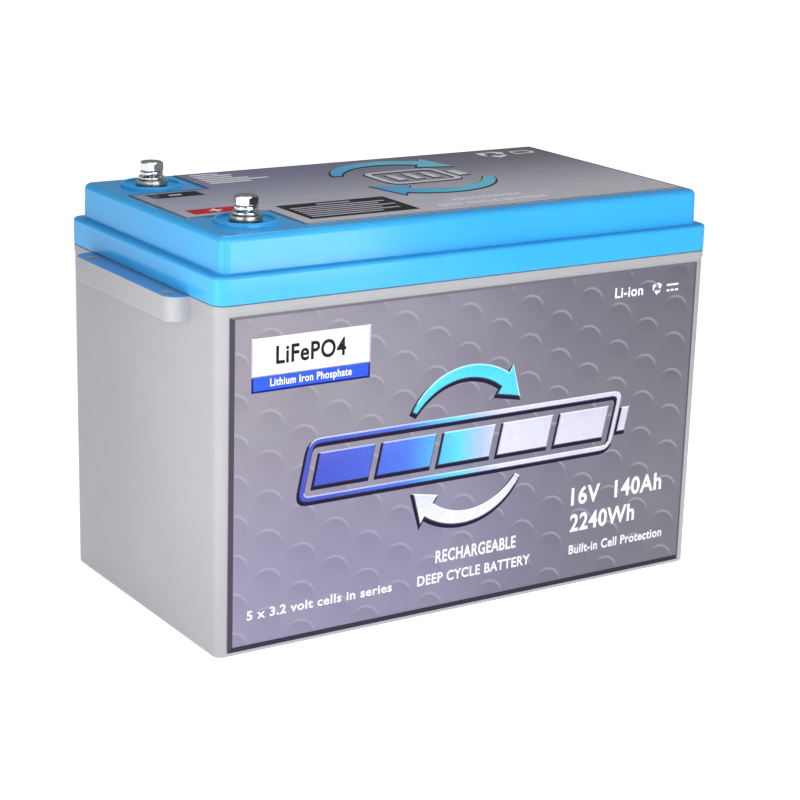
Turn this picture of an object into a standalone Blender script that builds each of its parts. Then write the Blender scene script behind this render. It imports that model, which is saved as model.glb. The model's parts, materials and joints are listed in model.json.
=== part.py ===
"""Deep cycle battery: a 16 V lithium iron phosphate pack in a grey tub with a two-tier lid.

All sizes are in metres. +X runs along the case with the terminals at its -X end, the front
looks along -Y, +Z is up, and the origin is the centre of the base. The positive terminal is
the front one. Each terminal's washers lift and its bolt turns and lifts, so those pieces have
their origins on the terminal's axis.
"""

import math

import bmesh
import bpy
from mathutils import Vector

# Driving dimensions of the case
LENGTH = 0.3180
WIDTH = 0.1744
SKIRT_BOTTOM = 0.1896
SKIRT_TOP = 0.2044
LID_TOP = 0.2240
CORNER = 0.0070
GAP = 0.0003

# Tub
WALL = 0.0040
FLOOR = 0.0035
TUB_INSET_LOW = 0.0013
TUB_INSET_HIGH = 0.0006
TUB_EDGE = 0.0020
BAND_INSET = 0.0002
BAND_HEIGHT = 0.0044
TONGUE_OUTER_INSET = 0.0029
TONGUE_INNER_INSET = 0.0046
TONGUE_TOP = 0.1996

# Ledges at both ends
LEDGE_REACH = 0.0117
LEDGE_HALF = 0.0580
LEDGE_HEIGHT = 0.0132
LEDGE_CORNER = 0.0080
LEDGE_TOP = SKIRT_BOTTOM - 0.0002
LEDGE_WALL = 0.0026
ROPE_HOLE_RADIUS = 0.0033
ROPE_HOLE_X = 0.1650
ROPE_HOLE_Y = 0.0455

# Lid
SKIRT_WALL = 0.0026
SHOULDER_ROUND = 0.0018
TIER_INSET = 0.0048
TIER_DRAFT = 0.0004
TIER_ROUND = 0.0035
TIER_WALL = 0.0032
CEILING = LID_TOP - 0.0032
STEP_CEILING = SKIRT_TOP - 0.0030

# Terminals
TERMINAL_X = -0.1245
TERMINAL_Y = 0.0540
BOSS_RADIUS = 0.0170
BOSS_RIM = 0.0024
BOSS_RIM_WIDTH = 0.0020
BOSS_FLOOR = 0.0008
BOSS_TUBE_RADIUS = 0.0120
BOSS_DEPTH = 0.0140
PAD_RADIUS = 0.00875
PAD_HEIGHT = 0.0030
PAD_CHAMFER = 0.0003
PAD_RIM_DROP = 0.0001
STEM_RADIUS = 0.0060
STEM_HOLE_RADIUS = 0.0063
STEM_DEPTH = 0.0245
THREAD_BORE_RADIUS = 0.0043
THREAD_BORE_DEPTH = 0.0228
SEAL_POCKET_RADIUS = 0.0082
SEAL_POCKET_DEPTH = 0.0016
SEAL_RADIUS = 0.0071
SEAL_SECTION = 0.00075

# M8 fasteners
FLAT_WASHER_RADIUS = 0.0072
FLAT_WASHER_BORE = 0.0042
FLAT_WASHER_HEIGHT = 0.0015
SPRING_WASHER_RADIUS = 0.0064
SPRING_WASHER_BORE = 0.0042
SPRING_WASHER_SECTION = 0.0020
SPRING_WASHER_HEIGHT = 0.0030
BOLT_ACROSS_FLATS = 0.0120
BOLT_HEAD_HEIGHT = 0.0045
BOLT_HEAD_CHAMFER = 0.0006
BOLT_SHANK_RADIUS = 0.0039
BOLT_SHANK_LENGTH = 0.0200
BOLT_TURN = math.radians(45)

# Labels
LABEL_GAP = 0.00015
LABEL_THICKNESS = 0.00030
LABEL_CORNER = 0.0008
FRONT_LABEL_HALF = 0.1514
FRONT_LABEL_LOW = 0.0026
FRONT_LABEL_HIGH = 0.1833
TOP_LABEL_HALF_X = 0.1487
TOP_LABEL_FRONT_Y = -0.0735
TOP_LABEL_BACK_Y = 0.0765
TOP_LABEL_NOTCH_X = -0.1000
TOP_LABEL_NOTCH_Y = 0.0345

# Cell stack
CELL_COUNT = 5
CELL = Vector((0.0540, 0.1480, 0.1550))
CELL_CORNER = 0.0030
CELL_BASE = 0.0071
CELL_POST_Y = 0.0460
CELL_POST = Vector((0.0200, 0.0160, 0.0030))
SPACER_THICKNESS = 0.0010
CELL_PITCH = CELL.x + SPACER_THICKNESS + 2 * GAP
END_PLATE_THICKNESS = 0.0080
STRAP_THICKNESS = 0.0005
STRAP_WIDTH = 0.0160
BUSBAR_WIDTH = 0.0180
BUSBAR_THICKNESS = 0.0020
BUSBAR_ARCH = 0.0040
FOAM_BASE = 0.0030

CELL_TOP = CELL_BASE + CELL.z
POST_TOP = CELL_TOP + CELL_POST.z
BUSBAR_TOP = POST_TOP + GAP + BUSBAR_THICKNESS
STACK_HALF = (CELL_COUNT - 1) / 2 * CELL_PITCH + CELL.x / 2

# Protection circuit
TRAY_HALF = Vector((0.0930, 0.0330))
TRAY_THICKNESS = 0.0020
TRAY_Z = 0.1740
TRAY_LEG = 0.0050
BOARD_HALF = Vector((0.0880, 0.0300))
BOARD_THICKNESS = 0.0016
BOARD_Z = 0.1800
HEATSINK_HALF = Vector((0.0560, 0.0240))
HEATSINK_BASE = 0.0030
HEATSINK_HEIGHT = 0.0110
HEATSINK_FINS = 9
SCREW_X = 0.0820
SCREW_Y = 0.0250

# Leads and lugs
LEAD_RADIUS = 0.0040
LUG_RADIUS = 0.0085
LUG_THICKNESS = 0.0020

CASE_CORNER_STEPS = 5
CORNER_STEPS = 2
ROUND_STEPS = 32
SEAL_STEPS = 24
SMALL_STEPS = 14

GREY = (0.62, 0.63, 0.65)
BLUE = (0.07, 0.45, 0.85)
LABEL_GREY = (0.25, 0.23, 0.29)
NICKEL = (0.80, 0.78, 0.74)
STEEL = (0.75, 0.75, 0.76)
COPPER = (0.80, 0.42, 0.25)
BLACK = (0.03, 0.03, 0.03)


def clear_scene():
    for obj in list(bpy.data.objects):
        bpy.data.objects.remove(obj, do_unlink=True)


def paint(obj, colour, roughness=0.5, metallic=0.0):
    material = bpy.data.materials.new(obj.name + "_material")
    material.use_nodes = True
    shader = material.node_tree.nodes["Principled BSDF"]
    shader.inputs["Base Color"].default_value = (*colour, 1.0)
    shader.inputs["Roughness"].default_value = roughness
    shader.inputs["Metallic"].default_value = metallic
    material.diffuse_color = (*colour, 1.0)
    obj.data.materials.clear()
    obj.data.materials.append(material)
    return obj


def add_object(name, mesh, origin=(0.0, 0.0, 0.0)):
    """Turn a bmesh into an object whose faces point out and whose origin is where it is asked for."""
    bmesh.ops.recalc_face_normals(mesh, faces=mesh.faces)
    bmesh.ops.translate(mesh, verts=mesh.verts, vec=-Vector(origin))
    data = bpy.data.meshes.new(name)
    mesh.to_mesh(data)
    mesh.free()
    data.shade_smooth()
    data.set_sharp_from_angle(angle=math.radians(40))
    obj = bpy.data.objects.new(name, data)
    obj.location = origin
    bpy.context.scene.collection.objects.link(obj)
    return obj


def loft(name, loops, closed=False, origin=(0.0, 0.0, 0.0)):
    """A solid through loops of equal length; closed joins the last loop back to the first."""
    mesh = bmesh.new()
    rows = [[mesh.verts.new(point) for point in loop] for loop in loops]
    following = rows[1:] + rows[:1] if closed else rows[1:]
    for low, high in zip(rows, following):
        for i in range(len(low)):
            j = (i + 1) % len(low)
            mesh.faces.new((low[i], low[j], high[j], high[i]))
    if not closed:
        mesh.faces.new(rows[0][::-1])
        mesh.faces.new(rows[-1])
    return add_object(name, mesh, origin)


def rounded_rectangle(half_x, half_y, radius, steps=CORNER_STEPS):
    """The 2-D outline of a rectangle with round corners, anticlockwise."""
    points = []
    for quarter, (sx, sy) in enumerate(((1, 1), (-1, 1), (-1, -1), (1, -1))):
        for i in range(steps + 1):
            angle = math.radians(90) * (quarter + i / steps)
            x = sx * (half_x - radius) + radius * math.cos(angle)
            y = sy * (half_y - radius) + radius * math.sin(angle)
            points.append((x, y))
    return points


def ring(half_x, half_y, radius, z, centre=(0.0, 0.0), steps=CORNER_STEPS):
    outline = rounded_rectangle(half_x, half_y, radius, steps)
    return [(centre[0] + x, centre[1] + y, z) for x, y in outline]


def case_ring(inset, z, radius=None):
    """A level loop of the case, set in from the lid's skirt."""
    corner = max(CORNER - inset, 0.0015) if radius is None else radius
    return ring(LENGTH / 2 - inset, WIDTH / 2 - inset, corner, z, steps=CASE_CORNER_STEPS)


def round_loop(centre, radius, z, steps):
    turns = (2 * math.pi * i / steps for i in range(steps))
    return [(centre[0] + radius * math.cos(a), centre[1] + radius * math.sin(a), z) for a in turns]


def turned(name, centre, profile, steps=ROUND_STEPS, closed=False, origin=(0.0, 0.0, 0.0)):
    """A turned piece on a vertical axis. The profile is a list of (radius, height)."""
    loops = [round_loop(centre, radius, z, steps) for radius, z in profile]
    return loft(name, loops, closed, origin)


def block(name, half_x, half_y, low, high, centre=(0.0, 0.0), radius=0.0005):
    """An upright block with round vertical edges."""
    return loft(name, [ring(half_x, half_y, radius, low, centre), ring(half_x, half_y, radius, high, centre)])


def boolean(target, tool, operation):
    """Cut the tool from the target or join it on, leaving the tool as a hidden guide."""
    modifier = target.modifiers.new(tool.name, "BOOLEAN")
    modifier.operation = operation
    modifier.solver = "EXACT"
    modifier.object = tool
    tool.hide_render = True
    tool.display_type = "WIRE"


def cut(target, tool):
    boolean(target, tool, "DIFFERENCE")


def join(target, tool):
    boolean(target, tool, "UNION")


def tub_inset(z):
    """How far the tub's drafted wall stands in from the skirt at a height."""
    share = z / (SKIRT_BOTTOM - BAND_HEIGHT)
    return TUB_INSET_LOW + (TUB_INSET_HIGH - TUB_INSET_LOW) * share


def case_tub():
    band_low = SKIRT_BOTTOM - BAND_HEIGHT
    shoulder = SKIRT_BOTTOM - GAP
    loops = []
    for i in range(4):
        angle = math.radians(30 * i)
        z = TUB_EDGE * (1 - math.cos(angle))
        loops.append(case_ring(tub_inset(z) + TUB_EDGE * (1 - math.sin(angle)), z))
    loops.append(case_ring(TUB_INSET_HIGH, band_low))
    loops.append(case_ring(BAND_INSET, band_low + 0.0004))
    loops.append(case_ring(BAND_INSET, shoulder))
    loops.append(case_ring(TONGUE_OUTER_INSET, shoulder))
    loops.append(case_ring(TONGUE_OUTER_INSET, TONGUE_TOP))
    loops.append(case_ring(TONGUE_INNER_INSET, TONGUE_TOP))
    loops.append(case_ring(TONGUE_INNER_INSET, FLOOR))
    tub = loft("case_tub", loops)
    for side in (-1, 1):
        add_ledge(tub, side)
    return paint(tub, GREY, roughness=0.45)


def ledge_outline(side, inset):
    """Plan of a ledge with two round outer corners, reaching into the tub's wall."""
    radius = LEDGE_CORNER - inset
    outer = LENGTH / 2 + LEDGE_REACH - inset
    half = LEDGE_HALF - inset
    points = [(LENGTH / 2 - WALL / 2, -half)]
    for centre_y, start in ((-half + radius, -90), (half - radius, 0)):
        for i in range(CASE_CORNER_STEPS + 1):
            angle = math.radians(start + 90 * i / CASE_CORNER_STEPS)
            points.append((outer - radius + radius * math.cos(angle), centre_y + radius * math.sin(angle)))
    points.append((LENGTH / 2 - WALL / 2, half))
    return [(side * x, y) for x, y in points]


def add_ledge(tub, side):
    """A hollow ledge open below: two ribs part it into three pockets, with a rope hole in each end one."""
    tag = "left" if side < 0 else "right"
    edge = 0.0008
    low = LEDGE_TOP - LEDGE_HEIGHT
    heights = ((edge, low), (0.0, low + edge), (0.0, LEDGE_TOP - edge / 2), (edge / 2, LEDGE_TOP))
    loops = [[(x, y, z) for x, y in ledge_outline(side, inset)] for inset, z in heights]
    join(tub, loft(f"guide_ledge_{tag}", loops))
    inner = LENGTH / 2 + 0.0006
    outer = LENGTH / 2 + LEDGE_REACH - LEDGE_WALL
    pocket = (LEDGE_HALF - LEDGE_WALL) * 2 / 3
    for i in (-1, 0, 1):
        centre = (side * (inner + outer) / 2, i * pocket)
        half_y = pocket / 2 - (LEDGE_WALL / 2 if i == 0 else LEDGE_WALL / 4)
        top = LEDGE_TOP - LEDGE_WALL
        name = f"guide_pocket_{tag}_{i + 2}"
        cut(tub, block(name, (outer - inner) / 2, half_y, low - 0.002, top, centre, 0.0012))
    for y in (-ROPE_HOLE_Y, ROPE_HOLE_Y):
        profile = ((ROPE_HOLE_RADIUS, low - 0.002), (ROPE_HOLE_RADIUS, LEDGE_TOP + 0.002))
        name = f"guide_rope_hole_{tag}_{'front' if y < 0 else 'back'}"
        cut(tub, turned(name, (side * ROPE_HOLE_X, y), profile, SMALL_STEPS))


def lid():
    """The shell runs from the ceiling down the inside, round the skirt's lip and up the outside."""
    loops = [
        case_ring(TIER_INSET + TIER_WALL, CEILING),
        case_ring(TIER_INSET + TIER_WALL, STEP_CEILING),
        case_ring(SKIRT_WALL, STEP_CEILING),
        case_ring(SKIRT_WALL, SKIRT_BOTTOM),
        case_ring(0.0004, SKIRT_BOTTOM),
        case_ring(0.0, SKIRT_BOTTOM + 0.0004),
    ]
    for i in range(4):
        angle = math.radians(30 * i)
        z = SKIRT_TOP - SHOULDER_ROUND * (1 - math.sin(angle))
        loops.append(case_ring(SHOULDER_ROUND * (1 - math.cos(angle)), z))
    tier_corner = CORNER - 0.0010
    loops.append(case_ring(TIER_INSET, SKIRT_TOP, tier_corner))
    for i in range(6):
        angle = math.radians(18 * i)
        inset = TIER_INSET + TIER_DRAFT + TIER_ROUND * (1 - math.cos(angle))
        z = LID_TOP - TIER_ROUND * (1 - math.sin(angle))
        loops.append(case_ring(inset, z, max(tier_corner - (inset - TIER_INSET), 0.0025)))
    shell = loft("lid", loops)
    for side, tag in ((-1, "positive"), (1, "negative")):
        add_boss(shell, (TERMINAL_X, side * TERMINAL_Y), tag)
    return paint(shell, BLUE, roughness=0.28)


def add_boss(shell, centre, tag):
    """A raised rim round a sunk floor, with a tube below that carries the terminal."""
    rim = LID_TOP + BOSS_RIM
    floor = LID_TOP + BOSS_FLOOR
    half = BOSS_RIM_WIDTH / 2
    profile = [
        (BOSS_TUBE_RADIUS, LID_TOP - BOSS_DEPTH),
        (BOSS_TUBE_RADIUS, LID_TOP - 0.0020),
        (BOSS_RADIUS, LID_TOP - 0.0020),
    ]
    for i in range(5):
        angle = math.radians(45 * i)
        radius = BOSS_RADIUS - half + half * math.cos(angle)
        profile.append((radius, rim - half + half * math.sin(angle)))
    profile.append((BOSS_RADIUS - BOSS_RIM_WIDTH, floor))
    join(shell, turned(f"guide_{tag}_boss", centre, profile))
    hole = (
        (STEM_HOLE_RADIUS, LID_TOP - BOSS_DEPTH - 0.002),
        (STEM_HOLE_RADIUS, floor - SEAL_POCKET_DEPTH),
        (SEAL_POCKET_RADIUS, floor - SEAL_POCKET_DEPTH),
        (SEAL_POCKET_RADIUS, floor + 0.004),
    )
    cut(shell, turned(f"guide_{tag}_hole", centre, hole))


def lid_seal():
    """The bead between the top of the tub's tongue and the lid's step."""
    low = TONGUE_TOP + GAP
    high = STEP_CEILING - GAP
    outer = TONGUE_OUTER_INSET
    inner = TONGUE_OUTER_INSET + 0.0024
    loops = [case_ring(inner, low), case_ring(outer, low), case_ring(outer, high), case_ring(inner, high)]
    return paint(loft("lid_seal", loops, closed=True), BLACK, roughness=0.9)


def side_label(name, side):
    """A thin sheet that follows the drafted wall; side is -1 for the front and 1 for the back."""
    middle = (FRONT_LABEL_LOW + FRONT_LABEL_HIGH) / 2
    half_z = (FRONT_LABEL_HIGH - FRONT_LABEL_LOW) / 2
    outline = rounded_rectangle(FRONT_LABEL_HALF, half_z, LABEL_CORNER, 3)
    loops = []
    for lift in (LABEL_GAP, LABEL_GAP + LABEL_THICKNESS):
        loop = []
        for x, z in outline:
            wall = WIDTH / 2 - tub_inset(middle + z)
            loop.append((x, side * (wall + lift), middle + z))
        loops.append(loop)
    return paint(loft(name, loops), LABEL_GREY, roughness=0.4)


def rounded_polygon(corners, radius, steps=3):
    """Round each corner of a polygon whose sides run along X or Y."""
    points = []
    for i, corner in enumerate(corners):
        here = Vector(corner)
        before = (Vector(corners[i - 1]) - here).normalized()
        after = (Vector(corners[(i + 1) % len(corners)]) - here).normalized()
        centre = here + (before + after) * radius
        for k in range(steps + 1):
            angle = math.radians(90 * k / steps)
            points.append(centre - after * radius * math.cos(angle) - before * radius * math.sin(angle))
    return points


def top_label():
    """The sheet on the lid, notched at the two corners that hold the terminals."""
    x, front, back = TOP_LABEL_HALF_X, TOP_LABEL_FRONT_Y, TOP_LABEL_BACK_Y
    notch_x, notch_y = TOP_LABEL_NOTCH_X, TOP_LABEL_NOTCH_Y
    corners = (
        (x, front), (x, back), (notch_x, back), (notch_x, notch_y),
        (-x, notch_y), (-x, -notch_y), (notch_x, -notch_y), (notch_x, front),
    )
    outline = rounded_polygon(corners, LABEL_CORNER)
    low = LID_TOP + LABEL_GAP
    loops = [[(p.x, p.y, z) for p in outline] for z in (low, low + LABEL_THICKNESS)]
    return paint(loft("top_label", loops), LABEL_GREY, roughness=0.4)


def terminal(tag, centre):
    """A pad with a blind threaded bore and a low rim round the washer, on a stem through the boss."""
    pad_low = LID_TOP + BOSS_FLOOR + GAP
    pad_high = pad_low + PAD_HEIGHT
    rim_high = pad_high - PAD_RIM_DROP
    profile = (
        (STEM_RADIUS - PAD_CHAMFER, LID_TOP - STEM_DEPTH),
        (STEM_RADIUS, LID_TOP - STEM_DEPTH + PAD_CHAMFER),
        (STEM_RADIUS, pad_low),
        (PAD_RADIUS, pad_low),
        (PAD_RADIUS, rim_high - PAD_CHAMFER),
        (PAD_RADIUS - PAD_CHAMFER, rim_high),
        (FLAT_WASHER_RADIUS + 0.00005, rim_high),
        (FLAT_WASHER_RADIUS + 0.00005, pad_high),
        (THREAD_BORE_RADIUS, pad_high),
        (THREAD_BORE_RADIUS, pad_high - THREAD_BORE_DEPTH),
    )
    return paint(turned(f"{tag}_terminal", centre, profile), NICKEL, roughness=0.25, metallic=1.0)


def terminal_seal(tag, centre):
    """The O-ring in the pocket below the pad."""
    middle = LID_TOP + BOSS_FLOOR - SEAL_POCKET_DEPTH + 0.0001 + SEAL_SECTION
    turns = [2 * math.pi * i / 8 for i in range(8)]
    profile = [(SEAL_RADIUS + SEAL_SECTION * math.cos(a), middle + SEAL_SECTION * math.sin(a)) for a in turns]
    seal = turned(f"{tag}_terminal_seal", centre, profile, SEAL_STEPS, closed=True)
    return paint(seal, BLACK, roughness=0.9)


def hexagon_loop(centre, across_flats, z, steps, turn=0.0):
    """A hexagon as a loop of many points, so that it lofts to a circle."""
    points = []
    for i in range(steps):
        angle = 2 * math.pi * i / steps
        inside = (angle + math.radians(30)) % math.radians(60) - math.radians(30)
        radius = across_flats / 2 / math.cos(inside)
        x = centre[0] + radius * math.cos(angle + turn)
        y = centre[1] + radius * math.sin(angle + turn)
        points.append((x, y, z))
    return points


def terminal_nut(tag, centre):
    """The hex nut that clamps the lead's lug below the boss."""
    steps = 24
    high = LID_TOP - BOSS_DEPTH - LUG_THICKNESS - 2 * GAP
    low = high - 0.0060
    bore = STEM_RADIUS + GAP
    loops = [
        round_loop(centre, bore, low, steps),
        hexagon_loop(centre, 0.0170, low, steps),
        hexagon_loop(centre, 0.0170, high, steps),
        round_loop(centre, bore, high, steps),
    ]
    return paint(loft(f"{tag}_terminal_nut", loops, closed=True), STEEL, roughness=0.3, metallic=1.0)


def washer_base():
    return LID_TOP + BOSS_FLOOR + GAP + PAD_HEIGHT + GAP


def flat_washer(tag, centre):
    low = washer_base()
    high = low + FLAT_WASHER_HEIGHT
    chamfer = 0.0003
    profile = (
        (FLAT_WASHER_BORE, low), (FLAT_WASHER_RADIUS, low), (FLAT_WASHER_RADIUS, high - chamfer),
        (FLAT_WASHER_RADIUS - chamfer, high), (FLAT_WASHER_BORE, high),
    )
    ring_piece = turned(f"{tag}_flat_washer", centre, profile, closed=True, origin=(*centre, low))
    return paint(ring_piece, STEEL, roughness=0.2, metallic=1.0)


def spring_washer(tag, centre):
    """A split ring of square wire that climbs by its free height over almost one turn."""
    steps = 30
    start = math.radians(18)
    sweep = math.radians(348)
    base = washer_base() + FLAT_WASHER_HEIGHT + GAP
    rise = SPRING_WASHER_HEIGHT - SPRING_WASHER_SECTION
    loops = []
    for i in range(steps + 1):
        angle = start + sweep * i / steps
        low = base + rise * i / steps
        high = low + SPRING_WASHER_SECTION
        corners = (
            (SPRING_WASHER_BORE, low), (SPRING_WASHER_RADIUS, low),
            (SPRING_WASHER_RADIUS, high), (SPRING_WASHER_BORE, high),
        )
        across, along = math.cos(angle), math.sin(angle)
        loops.append([(centre[0] + r * across, centre[1] + r * along, z) for r, z in corners])
    piece = loft(f"{tag}_spring_washer", loops, origin=(*centre, base))
    return paint(piece, STEEL, roughness=0.2, metallic=1.0)


def bolt(tag, centre):
    """An M8 bolt: a plain shank and a hex head whose top is chamfered to a circle."""
    steps = 24
    seat = washer_base() + FLAT_WASHER_HEIGHT + GAP + SPRING_WASHER_HEIGHT + GAP
    top = seat + BOLT_HEAD_HEIGHT
    tip = seat - BOLT_SHANK_LENGTH
    shank = BOLT_SHANK_RADIUS
    circle = BOLT_ACROSS_FLATS / 2 * 0.95
    loops = [
        round_loop(centre, shank - 0.0007, tip, steps),
        round_loop(centre, shank, tip + 0.0007, steps),
        round_loop(centre, shank, seat, steps),
        hexagon_loop(centre, BOLT_ACROSS_FLATS, seat, steps, BOLT_TURN),
        hexagon_loop(centre, BOLT_ACROSS_FLATS, top - BOLT_HEAD_CHAMFER, steps, BOLT_TURN),
        round_loop(centre, circle, top, steps),
    ]
    piece = loft(f"{tag}_bolt", loops, origin=(*centre, seat))
    return paint(piece, STEEL, roughness=0.15, metallic=1.0)


def cell(number, x):
    """One prismatic cell in an aluminium can, with two raised posts."""
    half_x, half_y = CELL.x / 2, CELL.y / 2
    edge = 0.0008
    inner = CELL_CORNER - edge
    loops = [
        ring(half_x - edge, half_y - edge, inner, CELL_BASE, (x, 0.0)),
        ring(half_x, half_y, CELL_CORNER, CELL_BASE + edge, (x, 0.0)),
        ring(half_x, half_y, CELL_CORNER, CELL_TOP - edge, (x, 0.0)),
        ring(half_x - edge, half_y - edge, inner, CELL_TOP, (x, 0.0)),
    ]
    can = loft(f"cell_{number}", loops)
    for side, tag in ((-1, "front"), (1, "back")):
        centre = (x, side * CELL_POST_Y)
        name = f"guide_cell_{number}_post_{tag}"
        join(can, block(name, CELL_POST.x / 2, CELL_POST.y / 2, CELL_TOP - 0.002, POST_TOP, centre, 0.0015))
    low, high = CELL_TOP - 0.0005, CELL_TOP + 0.002
    vent = block(f"guide_cell_{number}_vent", 0.0080, 0.0140, low, high, (x, 0.0), 0.0060)
    cut(can, vent)
    return paint(can, (0.10, 0.25, 0.55), roughness=0.35)


def cell_x(index):
    return (index - (CELL_COUNT - 1) / 2) * CELL_PITCH


def cells_and_spacers():
    for index in range(CELL_COUNT):
        cell(index + 1, cell_x(index))
    for index in range(CELL_COUNT - 1):
        x = (cell_x(index) + cell_x(index + 1)) / 2
        low, high = CELL_BASE + 0.001, CELL_TOP - 0.002
        half_x, half_y = SPACER_THICKNESS / 2, CELL.y / 2 - 0.001
        sheet = block(f"cell_spacer_{index + 1}", half_x, half_y, low, high, (x, 0.0), 0.0003)
        paint(sheet, (0.80, 0.80, 0.72), roughness=0.8)


def end_plate(name, side):
    x = side * (STACK_HALF + GAP + END_PLATE_THICKNESS / 2)
    plate = block(name, END_PLATE_THICKNESS / 2, CELL.y / 2, CELL_BASE, CELL_TOP - 0.004, (x, 0.0), 0.0020)
    return paint(plate, (0.72, 0.73, 0.74), roughness=0.4, metallic=1.0)


def strap(name, middle):
    """A steel band round the stack and its end plates."""
    half_x = STACK_HALF + GAP + END_PLATE_THICKNESS + GAP
    half_y = CELL.y / 2 + GAP
    low, high = middle - STRAP_WIDTH / 2, middle + STRAP_WIDTH / 2
    outer_x, outer_y = half_x + STRAP_THICKNESS, half_y + STRAP_THICKNESS
    loops = [
        ring(half_x, half_y, 0.0020, low), ring(outer_x, outer_y, 0.0025, low),
        ring(outer_x, outer_y, 0.0025, high), ring(half_x, half_y, 0.0020, high),
    ]
    return paint(loft(name, loops, closed=True), STEEL, roughness=0.35, metallic=1.0)


def swept_plate(name, path, width, thickness, y, colour, metallic=1.0):
    """A strip that follows a path of (x, z) points in a vertical plane along X."""
    loops = []
    near, far = y - width / 2, y + width / 2
    for x, z in path:
        high = z + thickness
        loops.append([(x, near, z), (x, far, z), (x, far, high), (x, near, high)])
    return paint(loft(name, loops), colour, roughness=0.3, metallic=metallic)


def busbar(number):
    """A copper link with an arch between two cells that lets the stack breathe."""
    left, right = cell_x(number - 1), cell_x(number)
    middle = (left + right) / 2
    base = POST_TOP + GAP
    path = [(left - CELL_POST.x / 2, base)]
    for i in range(9):
        share = i / 8
        x = middle - 0.014 + 0.028 * share
        path.append((x, base + BUSBAR_ARCH * math.sin(math.pi * share) ** 2))
    path.append((right + CELL_POST.x / 2, base))
    side = 1 if number % 2 else -1
    return swept_plate(f"busbar_{number}", path, BUSBAR_WIDTH, BUSBAR_THICKNESS, side * CELL_POST_Y, COPPER)


def collector(name, x, y):
    """The tab on the first or last cell's post that takes the lead's lug."""
    low = POST_TOP + GAP
    plate = block(name, 0.0120, 0.0090, low, low + BUSBAR_THICKNESS, (x, y), 0.0015)
    return paint(plate, COPPER, roughness=0.3, metallic=1.0)


def bms_tray():
    """An insulating tray that stands on the cells between the two rows of busbars."""
    tray = block("bms_tray", TRAY_HALF.x, TRAY_HALF.y, TRAY_Z, TRAY_Z + TRAY_THICKNESS, radius=0.0030)
    for sx in (-1, 1):
        for sy in (-1, 1):
            centre = (sx * SCREW_X, sy * SCREW_Y)
            tag = f"{'left' if sx < 0 else 'right'}_{'front' if sy < 0 else 'back'}"
            low = CELL_TOP + GAP
            leg = ((TRAY_LEG, low), (TRAY_LEG, BOARD_Z - GAP))
            join(tray, turned(f"guide_tray_leg_{tag}", centre, leg, SMALL_STEPS))
            hole = ((0.0018, TRAY_Z - 0.002), (0.0018, BOARD_Z + 0.002))
            cut(tray, turned(f"guide_tray_hole_{tag}", centre, hole, SMALL_STEPS))
    return paint(tray, BLACK, roughness=0.6)


def bms_board():
    board = block("bms_board", BOARD_HALF.x, BOARD_HALF.y, BOARD_Z, BOARD_Z + BOARD_THICKNESS, radius=0.0020)
    for sx in (-1, 1):
        for sy in (-1, 1):
            tag = f"{'left' if sx < 0 else 'right'}_{'front' if sy < 0 else 'back'}"
            hole = ((0.0018, BOARD_Z - 0.002), (0.0018, BOARD_Z + 0.004))
            cut(board, turned(f"guide_board_hole_{tag}", (sx * SCREW_X, sy * SCREW_Y), hole, SMALL_STEPS))
    return paint(board, (0.02, 0.22, 0.08), roughness=0.4)


def bms_screws():
    number = 0
    low = BOARD_Z + BOARD_THICKNESS + GAP
    for sx in (-1, 1):
        for sy in (-1, 1):
            number += 1
            profile = (
                (0.0012, BOARD_Z - 0.0045), (0.0015, BOARD_Z - 0.0042), (0.0015, low),
                (0.0028, low), (0.0026, low + 0.0014), (0.0016, low + 0.0020),
            )
            screw = turned(f"bms_screw_{number}", (sx * SCREW_X, sy * SCREW_Y), profile, SMALL_STEPS)
            paint(screw, STEEL, roughness=0.3, metallic=1.0)


def bms_heatsink():
    """A finned block: one comb outline extruded along X."""
    low = BOARD_Z + BOARD_THICKNESS + GAP
    deck, top = low + HEATSINK_BASE, low + HEATSINK_HEIGHT
    half = HEATSINK_HALF.y
    pitch = 2 * half / (2 * HEATSINK_FINS - 1)
    outline = [(-half, low), (half, low)]
    for i in range(HEATSINK_FINS):
        outer = half - 2 * i * pitch
        outline += [(outer, deck)] if i else []
        outline += [(outer, top), (outer - pitch, top)]
        outline += [(outer - pitch, deck)] if i < HEATSINK_FINS - 1 else []
    loops = [[(x, y, z) for y, z in outline] for x in (-HEATSINK_HALF.x, HEATSINK_HALF.x)]
    return paint(loft("bms_heatsink", loops), (0.70, 0.71, 0.72), roughness=0.4, metallic=1.0)


def balance_pieces():
    """The plug on the board, the flat harness that feeds it, and the probe on the middle cell."""
    low = BOARD_Z + BOARD_THICKNESS + GAP
    plug = block("balance_connector", 0.0050, 0.0120, low, low + 0.0070, (0.0740, 0.0), 0.0008)
    paint(plug, (0.85, 0.84, 0.78), roughness=0.5)
    flat = CELL_TOP + 0.0010
    path = [(-0.0900, flat), (0.0900, flat), (0.0960, flat + 0.0010), (0.0985, flat + 0.0050)]
    path += [(0.0985, BOARD_Z), (0.0975, low + 0.0030), (0.0940, low + 0.0045), (0.0794, low + 0.0045)]
    harness = loft("balance_harness", harness_loops(path))
    paint(harness, (0.60, 0.60, 0.62), roughness=0.6)
    probe = block("temperature_probe", 0.0030, 0.0060, flat, flat + 0.0030, (0.0, 0.0240), 0.0020)
    paint(probe, BLACK, roughness=0.5)


def harness_loops(path):
    """Cross-sections of a flat cable, square to its path of (x, z) points."""
    half_width, half_thick = 0.0060, 0.0005
    loops = []
    for i, (x, z) in enumerate(path):
        before = Vector(path[max(i - 1, 0)])
        after = Vector(path[min(i + 1, len(path) - 1)])
        along = (after - before).normalized()
        nx, nz = -along.y * half_thick, along.x * half_thick
        y = -half_width
        loops.append([(x - nx, y, z - nz), (x - nx, -y, z - nz), (x + nx, -y, z + nz), (x + nx, y, z + nz)])
    return loops


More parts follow.
